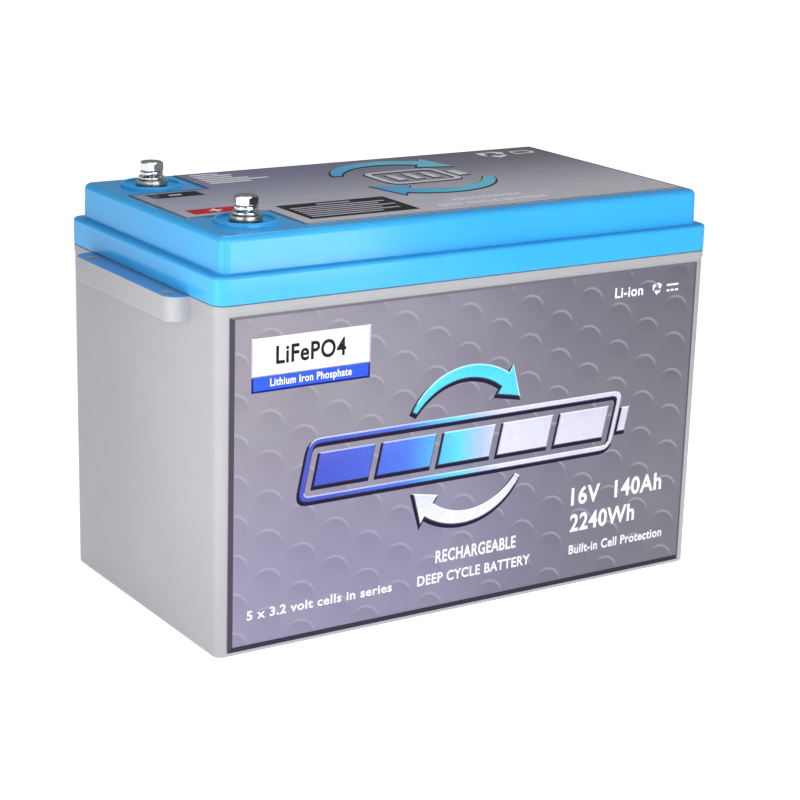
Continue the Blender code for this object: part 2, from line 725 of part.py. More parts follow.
def smooth_route(points, count):
    """Points evenly spread in parameter on a Catmull-Rom curve through the route."""
    padded = [points[0] * 2 - points[1], *points, points[-1] * 2 - points[-2]]
    spans = len(points) - 1
    route = []
    for i in range(count + 1):
        place = spans * i / count
        span = min(int(place), spans - 1)
        t = place - span
        a, b, c, d = padded[span:span + 4]
        even = b * 2 + (c - a) * t
        curved = (a * 2 - b * 5 + c * 4 - d) * t ** 2 + (b * 3 - a - c * 3 + d) * t ** 3
        route.append((even + curved) / 2)
    return route


def lead(name, route, colour):
    """A round cable as a curve with closed ends."""
    data = bpy.data.curves.new(name, "CURVE")
    data.dimensions = "3D"
    data.bevel_depth = LEAD_RADIUS
    data.bevel_resolution = 3
    data.use_fill_caps = True
    points = smooth_route([Vector(point) for point in route], 24)
    spline = data.splines.new("POLY")
    spline.points.add(len(points) - 1)
    for target, point in zip(spline.points, points):
        target.co = (*point, 1.0)
    obj = bpy.data.objects.new(name, data)
    bpy.context.scene.collection.objects.link(obj)
    return paint(obj, colour, roughness=0.55)


def lug(name, eye, low, bore, toward):
    """A crimp lug: a plate with a round eye, running out towards the lead as a barrel."""
    direction = Vector(toward).normalized()
    side = Vector((-direction.y, direction.x))
    steps = 10
    outline = []
    for i in range(steps + 1):
        angle = math.radians(90 + 180 * i / steps)
        point = Vector(eye) + LUG_RADIUS * (direction * math.cos(angle) + side * math.sin(angle))
        outline.append(point)
    neck = 0.0045
    outline.append(Vector(eye) + direction * 0.012 - side * neck)
    outline.append(Vector(eye) + direction * 0.020 - side * neck)
    outline.append(Vector(eye) + direction * 0.020 + side * neck)
    outline.append(Vector(eye) + direction * 0.012 + side * neck)
    loops = [[(p.x, p.y, z) for p in outline] for z in (low, low + LUG_THICKNESS)]
    plate = loft(name, loops)
    hole = ((bore, low - 0.002), (bore, low + LUG_THICKNESS + 0.002))
    cut(plate, turned(f"guide_{name}_eye", eye, hole, SEAL_STEPS))
    return paint(plate, (0.80, 0.80, 0.82), roughness=0.3, metallic=1.0)


def wiring():
    """Three heavy leads: pack to positive terminal, pack to board, board to negative terminal."""
    first, last = cell_x(0), cell_x(CELL_COUNT - 1)
    lug_low = LID_TOP - BOSS_DEPTH - GAP - LUG_THICKNESS
    under = BUSBAR_TOP + GAP
    on_board = BOARD_Z + BOARD_THICKNESS + GAP
    positive = (TERMINAL_X, -TERMINAL_Y)
    negative = (TERMINAL_X, TERMINAL_Y)
    reach = 0.0210
    lug("positive_terminal_lug", positive, lug_low, STEM_RADIUS + GAP, (1, 0))
    lug("positive_pack_lug", (first, -CELL_POST_Y), under, 0.0032, (1, 0))
    lug("negative_terminal_lug", negative, lug_low, STEM_RADIUS + GAP, (1, 0))
    lug("negative_board_lug", (-0.0700, 0.0), on_board, 0.0032, (-1, 0))
    lug("pack_negative_lug", (last, CELL_POST_Y), under, 0.0032, (-1, 0))
    end = LEAD_RADIUS + GAP
    straight = 0.006
    x, y, z = positive[0] + reach + GAP, positive[1], lug_low + LUG_THICKNESS / 2
    low_x, low_z = first + reach + GAP, under + LUG_THICKNESS / 2 + end
    red = (0.65, 0.03, 0.03)
    lead("positive_lead", [
        (x, y, z), (x + straight, y, z), (x + 0.022, y + 0.003, (z + low_z) / 2),
        (low_x + straight, -CELL_POST_Y, low_z), (low_x, -CELL_POST_Y, low_z),
    ], red)
    board_x, board_z = -0.0700 - reach - GAP, on_board + end
    lead("negative_lead", [
        (x, -y, z), (x + straight, -y, z), (x + 0.016, 0.0380, z - 0.003),
        (board_x - 0.011, 0.0120, board_z + 0.006),
        (board_x - straight, 0.0, board_z), (board_x, 0.0, board_z),
    ], BLACK)
    last_x = last - reach - GAP
    lead("pack_negative_lead", [
        (last_x, CELL_POST_Y, low_z), (last_x - straight, CELL_POST_Y, low_z),
        (last_x - 0.0200, CELL_POST_Y - 0.0040, on_board + 0.0100), (0.0645, 0.0290, on_board + 0.0140),
        (0.0645, 0.0240, on_board + 0.0070), (0.0645, 0.0240, on_board + 0.0010),
    ], BLACK)


def foam_pads():
    """Soft sheets that fill the space between the stack and the tub."""
    colour = (0.05, 0.05, 0.055)
    inner_x, inner_y = LENGTH / 2 - TONGUE_INNER_INSET, WIDTH / 2 - TONGUE_INNER_INSET
    stack_x = STACK_HALF + 2 * GAP + END_PLATE_THICKNESS + STRAP_THICKNESS
    stack_y = CELL.y / 2 + GAP + STRAP_THICKNESS
    low = FLOOR + GAP
    base = block("base_foam", inner_x - 0.001, inner_y - 0.001, low, low + FOAM_BASE, radius=0.0020)
    paint(base, colour, roughness=0.95)
    low, high = CELL_BASE, CELL_TOP - 0.010
    thick_y = inner_y - stack_y - 2 * GAP
    for side, name in ((-1, "front_foam"), (1, "back_foam")):
        centre = (0.0, side * (stack_y + GAP + thick_y / 2))
        paint(block(name, inner_x - 0.006, thick_y / 2, low, high, centre), colour, roughness=0.95)
    thick_x = inner_x - stack_x - 2 * GAP
    for side, name in ((-1, "left_foam"), (1, "right_foam")):
        centre = (side * (stack_x + GAP + thick_x / 2), 0.0)
        paint(block(name, thick_x / 2, stack_y - 0.002, low, high, centre), colour, roughness=0.95)


def main():
    clear_scene()
    case_tub()
    lid()
    lid_seal()
    side_label("front_label", -1)
    side_label("back_label", 1)
    top_label()
    for tag, side in (("positive", -1), ("negative", 1)):
        centre = (TERMINAL_X, side * TERMINAL_Y)
        terminal(tag, centre)
        terminal_seal(tag, centre)
        terminal_nut(tag, centre)
        flat_washer(tag, centre)
        spring_washer(tag, centre)
        bolt(tag, centre)
    cells_and_spacers()
    end_plate("end_plate_left", -1)
    end_plate("end_plate_right", 1)
    strap("strap_lower", 0.0450)
    strap("strap_upper", 0.1200)
    for number in range(1, CELL_COUNT):
        busbar(number)
    collector("positive_collector", cell_x(0), -CELL_POST_Y)
    collector("negative_collector", cell_x(CELL_COUNT - 1), CELL_POST_Y)
    bms_tray()
    bms_board()
    bms_screws()
    bms_heatsink()
    balance_pieces()
    wiring()
    foam_pads()


main()
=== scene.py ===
"""Looks of the deep cycle battery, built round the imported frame.

Everything is in metres in the frame's own axes: +X along the case, the front looks along -Y,
+Z up. Fine shells, terminals, washers and bolts stand for the plain CAD ones, and the labels
keep their CAD sheets and carry thin printed pieces. The print is generic: a battery sign with
two arrows for the cycle, ratings and plain words.
"""

import json
import math

import bmesh
import bpy
from mathutils import Matrix, Vector, noise


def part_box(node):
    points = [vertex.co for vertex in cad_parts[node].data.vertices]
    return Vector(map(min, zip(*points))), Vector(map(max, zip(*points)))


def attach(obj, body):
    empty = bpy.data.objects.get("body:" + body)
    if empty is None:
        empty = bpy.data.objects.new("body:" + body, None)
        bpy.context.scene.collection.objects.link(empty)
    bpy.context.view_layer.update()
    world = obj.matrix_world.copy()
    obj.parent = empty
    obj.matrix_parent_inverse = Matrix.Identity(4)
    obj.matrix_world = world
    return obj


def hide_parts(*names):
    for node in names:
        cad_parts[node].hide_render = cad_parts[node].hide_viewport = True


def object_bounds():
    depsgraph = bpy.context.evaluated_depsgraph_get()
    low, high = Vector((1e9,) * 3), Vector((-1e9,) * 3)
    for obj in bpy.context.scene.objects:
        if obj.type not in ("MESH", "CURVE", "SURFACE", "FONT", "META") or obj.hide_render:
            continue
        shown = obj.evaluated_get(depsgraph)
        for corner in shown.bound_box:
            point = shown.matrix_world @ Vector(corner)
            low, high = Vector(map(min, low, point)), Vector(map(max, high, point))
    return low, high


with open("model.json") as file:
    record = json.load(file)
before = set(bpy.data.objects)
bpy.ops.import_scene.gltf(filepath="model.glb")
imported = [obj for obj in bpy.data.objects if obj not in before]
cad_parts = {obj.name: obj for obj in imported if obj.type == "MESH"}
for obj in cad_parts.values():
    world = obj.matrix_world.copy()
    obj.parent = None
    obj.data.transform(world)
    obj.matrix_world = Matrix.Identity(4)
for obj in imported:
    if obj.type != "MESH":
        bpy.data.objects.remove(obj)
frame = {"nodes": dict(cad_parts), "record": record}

cad_low, cad_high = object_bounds()

# The case, from the frame
LID_LOW, LID_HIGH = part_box("lid")
HALF_X, HALF_Y = LID_HIGH.x, LID_HIGH.y
SKIRT_BOTTOM = LID_LOW.z
LABEL_GAP = 0.00015
LABEL_TOP = 0.00045
LID_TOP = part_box("top_label")[0].z - LABEL_GAP
GAP = 0.0003
CORNER = 0.0070
WALL = 0.0040
FLOOR = 0.0035
TUB_INSET_LOW = 0.0013
TUB_INSET_HIGH = 0.0006
TUB_EDGE = 0.0020
BAND_INSET = 0.0002
BAND_LOW = SKIRT_BOTTOM - 0.0044
TONGUE_OUTER_INSET = 0.0029
TONGUE_INNER_INSET = 0.0046
TONGUE_TOP = 0.1996

# Ledges
LEDGE_REACH = cad_high.x - HALF_X
LEDGE_HALF = 0.0580
LEDGE_HEIGHT = 0.0132
LEDGE_CORNER = 0.0080
LEDGE_TOP = SKIRT_BOTTOM - 0.0002
LEDGE_WALL = 0.0026
LEDGE_EDGE = 0.0008
ROPE_HOLE_RADIUS = 0.0033
ROPE_HOLE_X = 0.1650
ROPE_HOLE_Y = 0.0455

# Lid
SKIRT_TOP = 0.2044
SKIRT_WALL = 0.0026
SHOULDER_ROUND = 0.0018
TIER_INSET = 0.0048
TIER_DRAFT = 0.0004
TIER_ROUND = 0.0035
TIER_WALL = 0.0032
CEILING = LID_TOP - 0.0032
STEP_CEILING = SKIRT_TOP - 0.0030

# Terminals and fasteners
PADS = {tag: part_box(f"{tag}_terminal") for tag in ("positive", "negative")}
BOSS_RADIUS = 0.0170
BOSS_RIM = 0.0024
BOSS_RIM_WIDTH = 0.0020
BOSS_FLOOR = 0.0008
BOSS_TUBE_RADIUS = 0.0120
BOSS_DEPTH = 0.0140
SEAL_POCKET_RADIUS = 0.0082
SEAL_POCKET_DEPTH = 0.0016
STEM_RADIUS = 0.0060
STEM_HOLE_RADIUS = 0.0063
PAD_RADIUS = 0.00875
PAD_HEIGHT = 0.0030
PAD_RIM_DROP = 0.0001
LAND_RADIUS = 0.00725
BORE_RADIUS = 0.0043
BORE_DEPTH = 0.0228
THREAD_PITCH = 0.00125
HEAD_FLATS = 0.0120
HEAD_TURN = math.radians(45)
SHANK_RADIUS = 0.0039
WASHER_BORE = 0.0042

ROUND = 96
FINE_ROUND = 72
CORNER_STEPS = 14
PAST = 0.002  # how far a cutting shape runs past the face it cuts

# Camera: where it stands and how it is turned
CAMERA_PLACE = Vector((-0.6605, -1.0268, 0.4498))
CAMERA_HEADING = math.radians(33.07)
CAMERA_DOWN = math.radians(16.04)
CAMERA_ROLL = math.radians(1.64)
CAMERA_LENS = 98.88

VINYL_SHARE = 0.72


def srgb(red, green, blue):
    """A screen colour of 0 to 255 as the linear colour that the shader takes."""
    linear = []
    for value in (red, green, blue):
        share = value / 255
        linear.append(share / 12.92 if share <= 0.04045 else ((share + 0.055) / 1.055) ** 2.4)
    return (*linear, 1.0)


def shade(colour, factor):
    return (*(channel * factor for channel in colour[:3]), 1.0)


def vinyl(red, green, blue):
    """What glossy vinyl must reflect itself to show the given screen colour in this studio."""
    return shade(srgb(red, green, blue), VINYL_SHARE)


class Paint:
    """A procedural material under construction."""

    def __init__(self, name, roughness=0.5, metallic=0.0, **sockets):
        self.material = bpy.data.materials.new(name)
        self.material.use_nodes = True
        self.tree = self.material.node_tree
        self.shader = self.tree.nodes["Principled BSDF"]
        self.shader.inputs["Roughness"].default_value = roughness
        self.shader.inputs["Metallic"].default_value = metallic
        for socket, value in sockets.items():
            self.shader.inputs[socket.replace("_", " ")].default_value = value
        self.place = self.tree.nodes.new("ShaderNodeTexCoord").outputs["Object"]
        split = self.node("ShaderNodeSeparateXYZ", {"Vector": self.place})
        self.x, self.y, self.z = split.outputs

    def node(self, kind, inputs, **settings):
        made = self.tree.nodes.new(kind)
        for setting, value in settings.items():
            setattr(made, setting, value)
        for socket, value in inputs.items():
            if isinstance(value, bpy.types.NodeSocket):
                self.tree.links.new(value, made.inputs[socket])
            else:
                made.inputs[socket].default_value = value
        return made

    def math(self, operation, *values):
        return self.node("ShaderNodeMath", dict(enumerate(values)), operation=operation).outputs[0]

    def span(self, value, low, high, to_low=0.0, to_high=1.0):
        """The value's way from low to high as a smooth share, mapped to the given ends."""
        inputs = {"Value": value, "From Min": low, "From Max": high, "To Min": to_low, "To Max": to_high}
        made = self.node("ShaderNodeMapRange", inputs, interpolation_type="SMOOTHSTEP")
        return made.outputs["Result"]

    def noise(self, scale, detail=3.0, stretch=None):
        place = self.place
        if stretch:
            stretched = self.node("ShaderNodeVectorMath", {0: place, 1: stretch}, operation="MULTIPLY")
            place = stretched.outputs[0]
        inputs = {"Vector": place, "Scale": scale, "Detail": detail, "Roughness": 0.6}
        return self.node("ShaderNodeTexNoise", inputs).outputs["Fac"]

    def cells(self, scale):
        made = self.node("ShaderNodeTexVoronoi", {"Vector": self.place, "Scale": scale})
        return made.outputs["Distance"]

    def mix(self, share, first, second, blend="MIX"):
        made = self.node("ShaderNodeMix", {}, data_type="RGBA", blend_type=blend)
        for socket, value in ((made.inputs[0], share), (made.inputs[6], first), (made.inputs[7], second)):
            if isinstance(value, bpy.types.NodeSocket):
                self.tree.links.new(value, socket)
            else:
                socket.default_value = value
        return made.outputs[2]

    def tint(self, base, colour, blend="MULTIPLY"):
        return self.mix(1.0, base, colour, blend)

    def ramp(self, value, stops):
        made = self.node("ShaderNodeValToRGB", {"Fac": value})
        bands = made.color_ramp.elements
        while len(bands) < len(stops):
            bands.new(0.5)
        for band, (at, colour) in zip(bands, stops):
            band.position = at
            band.color = colour
        return made.outputs["Color"]

    def colour(self, value):
        self.tree.links.new(value, self.shader.inputs["Base Color"])
        return self

    def rough(self, value, low, high):
        self.tree.links.new(self.span(value, 0.3, 0.7, low, high), self.shader.inputs["Roughness"])
        return self

    def bump(self, height, distance, strength=1.0):
        inputs = {"Height": height, "Distance": distance, "Strength": strength}
        made = self.node("ShaderNodeBump", inputs)
        self.tree.links.new(made.outputs["Normal"], self.shader.inputs["Normal"])
        return self


def moulded_tone(paint, colour):
    """A slow drift of tone with faint scuffs."""
    drift = paint.span(paint.noise(9.0, 2.0), 0.3, 0.7)
    tone = paint.mix(drift, shade(colour, 0.955), shade(colour, 1.03))
    scuffs = paint.span(paint.noise(240.0, 4.0, (1.0, 1.0, 0.15)), 0.66, 0.80, 0.0, 0.25)
    return paint.mix(scuffs, tone, shade(colour, 1.12))


def moulded_skin(paint, rough_low, rough_high, grain):
    """The fine spark-eroded grain of a moulding."""
    paint.rough(paint.noise(60.0, 4.0), rough_low, rough_high)
    return paint.bump(paint.noise(2600.0, 2.0), grain, 0.6).material


def moulded_plastic(name, colour, rough_low, rough_high, grain):
    paint = Paint(name)
    paint.colour(moulded_tone(paint, colour))
    return moulded_skin(paint, rough_low, rough_high, grain)


def lid_plastic():
    """Glossy sky-blue plastic, with painted shade that makes the faces looking up a little darker."""
    paint = Paint("lid_blue", Specular_IOR_Level=0.3)
    normal = paint.node("ShaderNodeNewGeometry", {}).outputs["Normal"]
    up = paint.node("ShaderNodeSeparateXYZ", {"Vector": normal}).outputs["Z"]
    drift = paint.span(paint.noise(9.0, 2.0), 0.3, 0.7)
    side = paint.mix(drift, srgb(62, 178, 244), srgb(70, 184, 248))
    top = paint.mix(drift, srgb(58, 168, 236), srgb(66, 176, 240))
    # Faces that look up get a slightly darker blue: painted shade.
    paint.colour(paint.mix(paint.span(up, 0.45, 0.97), side, top))
    return moulded_skin(paint, 0.13, 0.19, 0.00001)


def case_plastic():
    """Satin light grey plastic, with a painted reflection of the lid's blue on the ledges' tops."""
    paint = Paint("case_grey", Specular_IOR_Level=0.45)
    tone = moulded_tone(paint, srgb(171, 172, 175))
    # The ledges' top faces carry a painted reflection of the lid's blue, masked by height and by reach past
    # the case wall.
    high = paint.span(paint.z, LEDGE_TOP - 0.0004, LEDGE_TOP - 0.0001)
    outside = paint.span(paint.math("ABSOLUTE", paint.x), HALF_X + 0.0002, HALF_X + 0.0006)
    paint.colour(paint.mix(paint.math("MULTIPLY", high, outside), tone, srgb(88, 150, 208)))
    return moulded_skin(paint, 0.36, 0.46, 0.00003)


def polished_metal(name, colour, dark, rough_low, rough_high):
    """Plated metal: fine turning lines round the axis, faint handling marks."""
    paint = Paint(name, metallic=1.0)
    marks = paint.span(paint.noise(700.0, 4.0), 0.45, 0.75)
    paint.colour(paint.mix(marks, colour, dark))
    paint.rough(paint.noise(450.0, 3.0), rough_low, rough_high)
    return paint.bump(paint.noise(900.0, 3.0, (1.0, 1.0, 6.0)), 0.00001, 0.35).material


def terminal_metal():
    """Nickel plate with a painted brownish reflection on the pad's side."""
    paint = Paint("terminal_nickel", metallic=1.0)
    low, high = PADS["positive"][1].z - PAD_HEIGHT, PADS["positive"][1].z
    side = paint.span(paint.z, high - 0.0002, high - 0.0005)
    plate = paint.mix(paint.span(paint.noise(600.0), 0.4, 0.7), srgb(226, 222, 212), srgb(196, 188, 172))
    # Painted brownish reflection on the pad's side: darkest at its foot, lightest a little below the
    # middle.
    painted_side_reflection = paint.ramp(
        paint.span(paint.z, low, high),
        [(0.0, srgb(160, 140, 118)), (0.45, srgb(226, 212, 194)), (1.0, srgb(184, 166, 146))],
    )
    paint.colour(paint.mix(side, plate, painted_side_reflection))
    paint.rough(paint.noise(500.0), 0.16, 0.30)
    return paint.bump(paint.noise(900.0, 3.0, (1.0, 1.0, 5.0)), 0.00001, 0.3).material


LABEL_LEFT, LABEL_RIGHT = -0.1514, 0.1514
DOT_PITCH_X = 0.0204
DOT_PITCH_Z = 0.0216
DOT_START = Vector((-0.1286, 0.0582))
DOT_RADIUS = 0.0093

# The vinyl's colour from the left end of a label to its right end; the upper stops also hold a painted
# greyish reflection toward the upper left
UPPER_STOPS = (
    (0.0, (160, 154, 166)), (0.45, (146, 140, 158)), (0.75, (129, 124, 139)), (1.0, (127, 124, 136)),
)
LOWER_STOPS = (
    (0.0, (160, 153, 184)), (0.45, (151, 146, 176)), (0.75, (131, 128, 150)), (1.0, (128, 125, 137)),
)
LID_STOPS = (
    (0.0, (152, 160, 190)), (0.35, (148, 148, 176)), (0.7, (140, 138, 160)), (1.0, (132, 130, 146)),
)


def vinyl_stops(stops):
    return [(at, vinyl(*colour)) for at, colour in stops]


def dot_marks(paint, across, shift_x, shift_z):
    """(light arc, shade below it) of one grid of round bumps; two grids make the pattern."""
    half_v = DOT_PITCH_Z / 2
    u = paint.math("WRAP", paint.math("SUBTRACT", across, shift_x), DOT_PITCH_X, -DOT_PITCH_X)
    v = paint.math("WRAP", paint.math("SUBTRACT", paint.z, shift_z), half_v, -half_v)
    square = paint.math("MULTIPLY", u, u)
    distance = paint.math("SQRT", paint.math("ADD", square, paint.math("MULTIPLY", v, v)))
    off_edge = paint.math("ABSOLUTE", paint.math("SUBTRACT", distance, DOT_RADIUS))
    line = paint.span(off_edge, 0.00115, 0.00015)
    lean = paint.math("ADD", paint.math("MULTIPLY", v, 0.94), paint.math("MULTIPLY", u, 0.34))
    facing = paint.span(paint.math("DIVIDE", lean, DOT_RADIUS), 0.45, 0.98)
    arc = paint.math("MULTIPLY", line, facing)
    inside = paint.span(distance, DOT_RADIUS, DOT_RADIUS - 0.0012)
    below = paint.span(lean, -0.0060, DOT_RADIUS)
    return arc, paint.math("MULTIPLY", inside, below)


def side_label_print(name, mirrored=False):
    """Grey-lilac vinyl with a printed pattern of staggered round bumps."""
    paint = Paint(name, Coat_Weight=0.25, Coat_Roughness=0.18)
    across = paint.math("MULTIPLY", paint.x, -1.0) if mirrored else paint.x
    share = paint.span(across, LABEL_LEFT, LABEL_RIGHT)
    # The upper ramp is the vinyl's gradient plus a painted greyish reflection toward the upper left.
    upper = paint.ramp(share, vinyl_stops(UPPER_STOPS))
    lower = paint.ramp(share, vinyl_stops(LOWER_STOPS))
    ground = paint.mix(paint.span(paint.z, 0.035, 0.135), lower, upper)
    cloud = paint.span(paint.noise(16.0, 2.0), 0.35, 0.65, 0.0, 0.5)
    ground = paint.mix(cloud, ground, paint.tint(ground, srgb(238, 234, 244)))
    arc_1, shade_1 = dot_marks(paint, across, DOT_START.x, DOT_START.y)
    next_x, next_z = DOT_START.x + DOT_PITCH_X, DOT_START.y - DOT_PITCH_Z / 2
    arc_2, shade_2 = dot_marks(paint, across, next_x, next_z)
    under = paint.math("MULTIPLY", paint.math("MAXIMUM", shade_1, shade_2), 0.40)
    ground = paint.mix(under, ground, paint.tint(ground, srgb(221, 219, 226)))
    arcs = paint.math("MAXIMUM", arc_1, arc_2)
    paint.colour(paint.mix(paint.math("MULTIPLY", arcs, 0.55), ground, vinyl(190, 184, 202)))
    paint.rough(paint.noise(120.0, 3.0), 0.32, 0.42)
    relief = paint.math("ADD", paint.noise(900.0, 2.0), paint.math("MULTIPLY", arcs, 2.0))
    return paint.bump(relief, 0.00002, 0.35).material


def top_label_print():
    """The lid's sheet: the same vinyl, darker to the right, with a faint brushed grain."""
    paint = Paint("top_label_print", Specular_IOR_Level=0.2)
    share = paint.span(paint.x, LABEL_LEFT, LABEL_RIGHT)
    ground = paint.ramp(share, vinyl_stops(LID_STOPS))
    near = paint.span(paint.y, 0.0735, -0.0735, 0.0, 0.55)
    ground = paint.mix(near, ground, paint.tint(ground, srgb(255, 250, 255), "SCREEN"))
    grain = paint.span(paint.noise(160.0, 4.0, (0.25, 1.0, 1.0)), 0.3, 0.7, 0.0, 0.4)
    paint.colour(paint.mix(grain, ground, paint.tint(ground, srgb(228, 226, 232))))
    paint.rough(paint.noise(120.0, 3.0), 0.34, 0.46)
    return paint.bump(paint.noise(900.0, 2.0), 0.00002, 0.3).material


def ink(name, colour):
    """Screen-printed ink: almost even, with slight changes of thickness."""
    paint = Paint(name, Specular_IOR_Level=0.1)
    thick = paint.span(paint.noise(180.0, 3.0), 0.35, 0.65)
    paint.colour(paint.mix(thick, shade(colour, 0.94), colour))
    paint.rough(paint.noise(150.0), 0.30, 0.42)
    return paint.bump(paint.noise(1500.0, 2.0), 0.00001, 0.25).material


SIGN_LEFT, SIGN_RIGHT = -0.112, 0.104
SIGN_STOPS = (
    (0.0, (26, 52, 196)), (0.24, (44, 104, 232)), (0.46, (70, 214, 246)),
    (0.56, (170, 196, 240)), (0.66, (222, 220, 240)), (1.0, (214, 212, 230)),
)
ARROW_STOPS = (
    (0.0, (232, 232, 246)), (0.35, (150, 176, 236)), (0.6, (60, 196, 234)), (1.0, (58, 214, 240)),
)


def sign_ink(name, stops, along, low, high, factor, lift=0.0):
    """Metallic-look gradient ink along one axis: blue through cyan to silver."""
    paint = Paint(name, Coat_Weight=0.4, Coat_Roughness=0.12)
    value = {"x": paint.x, "back_x": paint.math("MULTIPLY", paint.x, -1.0), "z": paint.z}[along]
    colours = [(at, shade(srgb(*colour), factor)) for at, colour in stops]
    tone = paint.ramp(paint.span(value, low, high), colours)
    if lift:
        tone = paint.mix(lift, tone, srgb(236, 250, 255))
    fine = paint.span(paint.noise(260.0, 3.0), 0.3, 0.7, 0.0, 0.12)
    paint.colour(paint.mix(fine, tone, paint.tint(tone, srgb(205, 210, 230))))
    return paint.rough(paint.noise(150.0), 0.24, 0.34).material


def sign_inks(tag, stops, along, low, high):
    """Face, lit bevel, side bevel and shaded bevel of one raised sign."""
    return [
        sign_ink(f"{tag}_face", stops, along, low, high, 0.92),
        sign_ink(f"{tag}_lit", stops, along, low, high, 1.0, 0.45),
        sign_ink(f"{tag}_side", stops, along, low, high, 0.55),
        sign_ink(f"{tag}_shaded", stops, along, low, high, 0.10),
    ]


def brushed_metal(name, colour, rough_low, rough_high, stretch):
    paint = Paint(name, metallic=1.0)
    grain = paint.noise(800.0, 4.0, stretch)
    blotch = paint.span(paint.noise(70.0), 0.35, 0.7)
    paint.colour(paint.mix(blotch, colour, shade(colour, 0.82)))
    paint.rough(grain, rough_low, rough_high)
    return paint.bump(grain, 0.00002, 0.4).material


def rubber(name, colour):
    paint = Paint(name, Sheen_Weight=0.1)
    dust = paint.span(paint.noise(300.0, 4.0), 0.5, 0.75, 0.0, 0.35)
    paint.colour(paint.mix(dust, colour, shade(colour, 2.2)))
    paint.rough(paint.noise(200.0), 0.55, 0.75)
    return paint.bump(paint.noise(1800.0, 3.0), 0.00003, 0.5).material


def cell_wrap():
    """Blue film round the cells, with bare aluminium on the posts."""
    paint = Paint("cell_film", Coat_Weight=0.3)
    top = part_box("cell_1")[1].z
    film = paint.mix(paint.span(paint.noise(40.0), 0.3, 0.7), srgb(24, 74, 150), srgb(40, 96, 178))
    post = paint.mix(paint.span(paint.noise(500.0), 0.3, 0.7), srgb(190, 192, 196), srgb(222, 223, 226))
    paint.colour(paint.mix(paint.span(paint.z, top - 0.0032, top - 0.0026), film, post))
    paint.rough(paint.noise(60.0), 0.25, 0.42)
    return paint.bump(paint.noise(120.0, 3.0), 0.0002, 0.3).material


def circuit_board():
    """Green solder mask over copper tracks."""
    paint = Paint("board_green", Coat_Weight=0.5)
    squares = {"Vector": paint.place, "Scale": 160.0, "Mortar Size": 0.03}
    tracks = paint.node("ShaderNodeTexBrick", squares).outputs["Fac"]
    mask = paint.mix(paint.span(paint.noise(50.0), 0.3, 0.7), srgb(12, 88, 46), srgb(18, 104, 58))
    paint.colour(paint.mix(tracks, mask, srgb(60, 140, 80)))
    paint.rough(paint.noise(90.0), 0.25, 0.4)
    return paint.bump(tracks, 0.00004, 0.5).material


def foam_rubber():
    paint = Paint("foam", Sheen_Weight=0.3)
    pores = paint.cells(1400.0)
    paint.colour(paint.mix(paint.span(pores, 0.1, 0.6), srgb(30, 30, 33), srgb(62, 62, 66)))
    paint.rough(paint.noise(80.0), 0.85, 0.97)
    return paint.bump(pores, 0.0003, 0.8).material


def slot_materials():
    """One material for each of the record's slots."""
    along_z = (1.0, 1.0, 8.0)
    return {
        "case_grey": case_plastic(),
        "lid_blue": lid_plastic(),
        "label_print": side_label_print("front_label_print"),
        "terminal_nickel": terminal_metal(),
        "bolt_steel": polished_metal("bolt_steel", srgb(232, 232, 234), srgb(205, 204, 204), 0.08, 0.16),
        "zinc_steel": brushed_metal("zinc_steel", srgb(200, 203, 208), 0.25, 0.4, along_z),
        "seal_rubber": rubber("seal_rubber", srgb(34, 34, 35)),
        "copper": brushed_metal("copper", srgb(214, 140, 104), 0.22, 0.38, (1.0, 8.0, 1.0)),
        "cell_film": cell_wrap(),
        "spacer_sheet": moulded_plastic("spacer_sheet", srgb(222, 220, 204), 0.6, 0.75, 0.00005),
        "plate_aluminium": brushed_metal("plate_aluminium", srgb(206, 208, 211), 0.3, 0.45, along_z),
        "black_plastic": moulded_plastic("black_plastic", srgb(40, 40, 42), 0.4, 0.55, 0.00005),
        "board_green": circuit_board(),
        "connector_plastic": moulded_plastic("connector_plastic", srgb(226, 224, 212), 0.35, 0.5, 0.00003),
        "cable_red": rubber("cable_red", srgb(178, 26, 26)),
        "cable_black": rubber("cable_black", srgb(36, 36, 38)),
        "lug_tin": brushed_metal("lug_tin", srgb(214, 215, 219), 0.25, 0.4, (8.0, 1.0, 1.0)),
        "foam": foam_rubber(),
    }


def link_object(name, data):
    obj = bpy.data.objects.new(name, data)
    bpy.context.scene.collection.objects.link(obj)
    return obj


def mesh_object(name, mesh, materials=()):
    """An object made from a bmesh, which is freed."""
    data = bpy.data.meshes.new(name)
    mesh.to_mesh(data)
    mesh.free()
    for material in materials:
        data.materials.append(material)
    return link_object(name, data)


def add_piece(name, mesh, materials, body="battery", replaces=(), crease=30):
    """Turn a bmesh into a piece that rides on its body and stands for the CAD nodes it replaces."""
    bmesh.ops.recalc_face_normals(mesh, faces=mesh.faces)
    obj = mesh_object(name, mesh, materials)
    obj.data.shade_smooth()
    obj.data.set_sharp_from_angle(angle=math.radians(crease))
    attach(obj, body)
    if replaces:
        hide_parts(*replaces)
    return obj


def loft_mesh(loops, closed=False):
    """A bmesh solid through loops of equal length; closed joins the last loop to the first."""
    mesh = bmesh.new()
    rows = [[mesh.verts.new(point) for point in loop] for loop in loops]
    following = rows[1:] + rows[:1] if closed else rows[1:]
    for low, high in zip(rows, following):
        for i in range(len(low)):
            j = (i + 1) % len(low)
            mesh.faces.new((low[i], low[j], high[j], high[i]))
    if not closed:
        mesh.faces.new(rows[0][::-1])
        mesh.faces.new(rows[-1])
    bmesh.ops.recalc_face_normals(mesh, faces=mesh.faces)
    return mesh


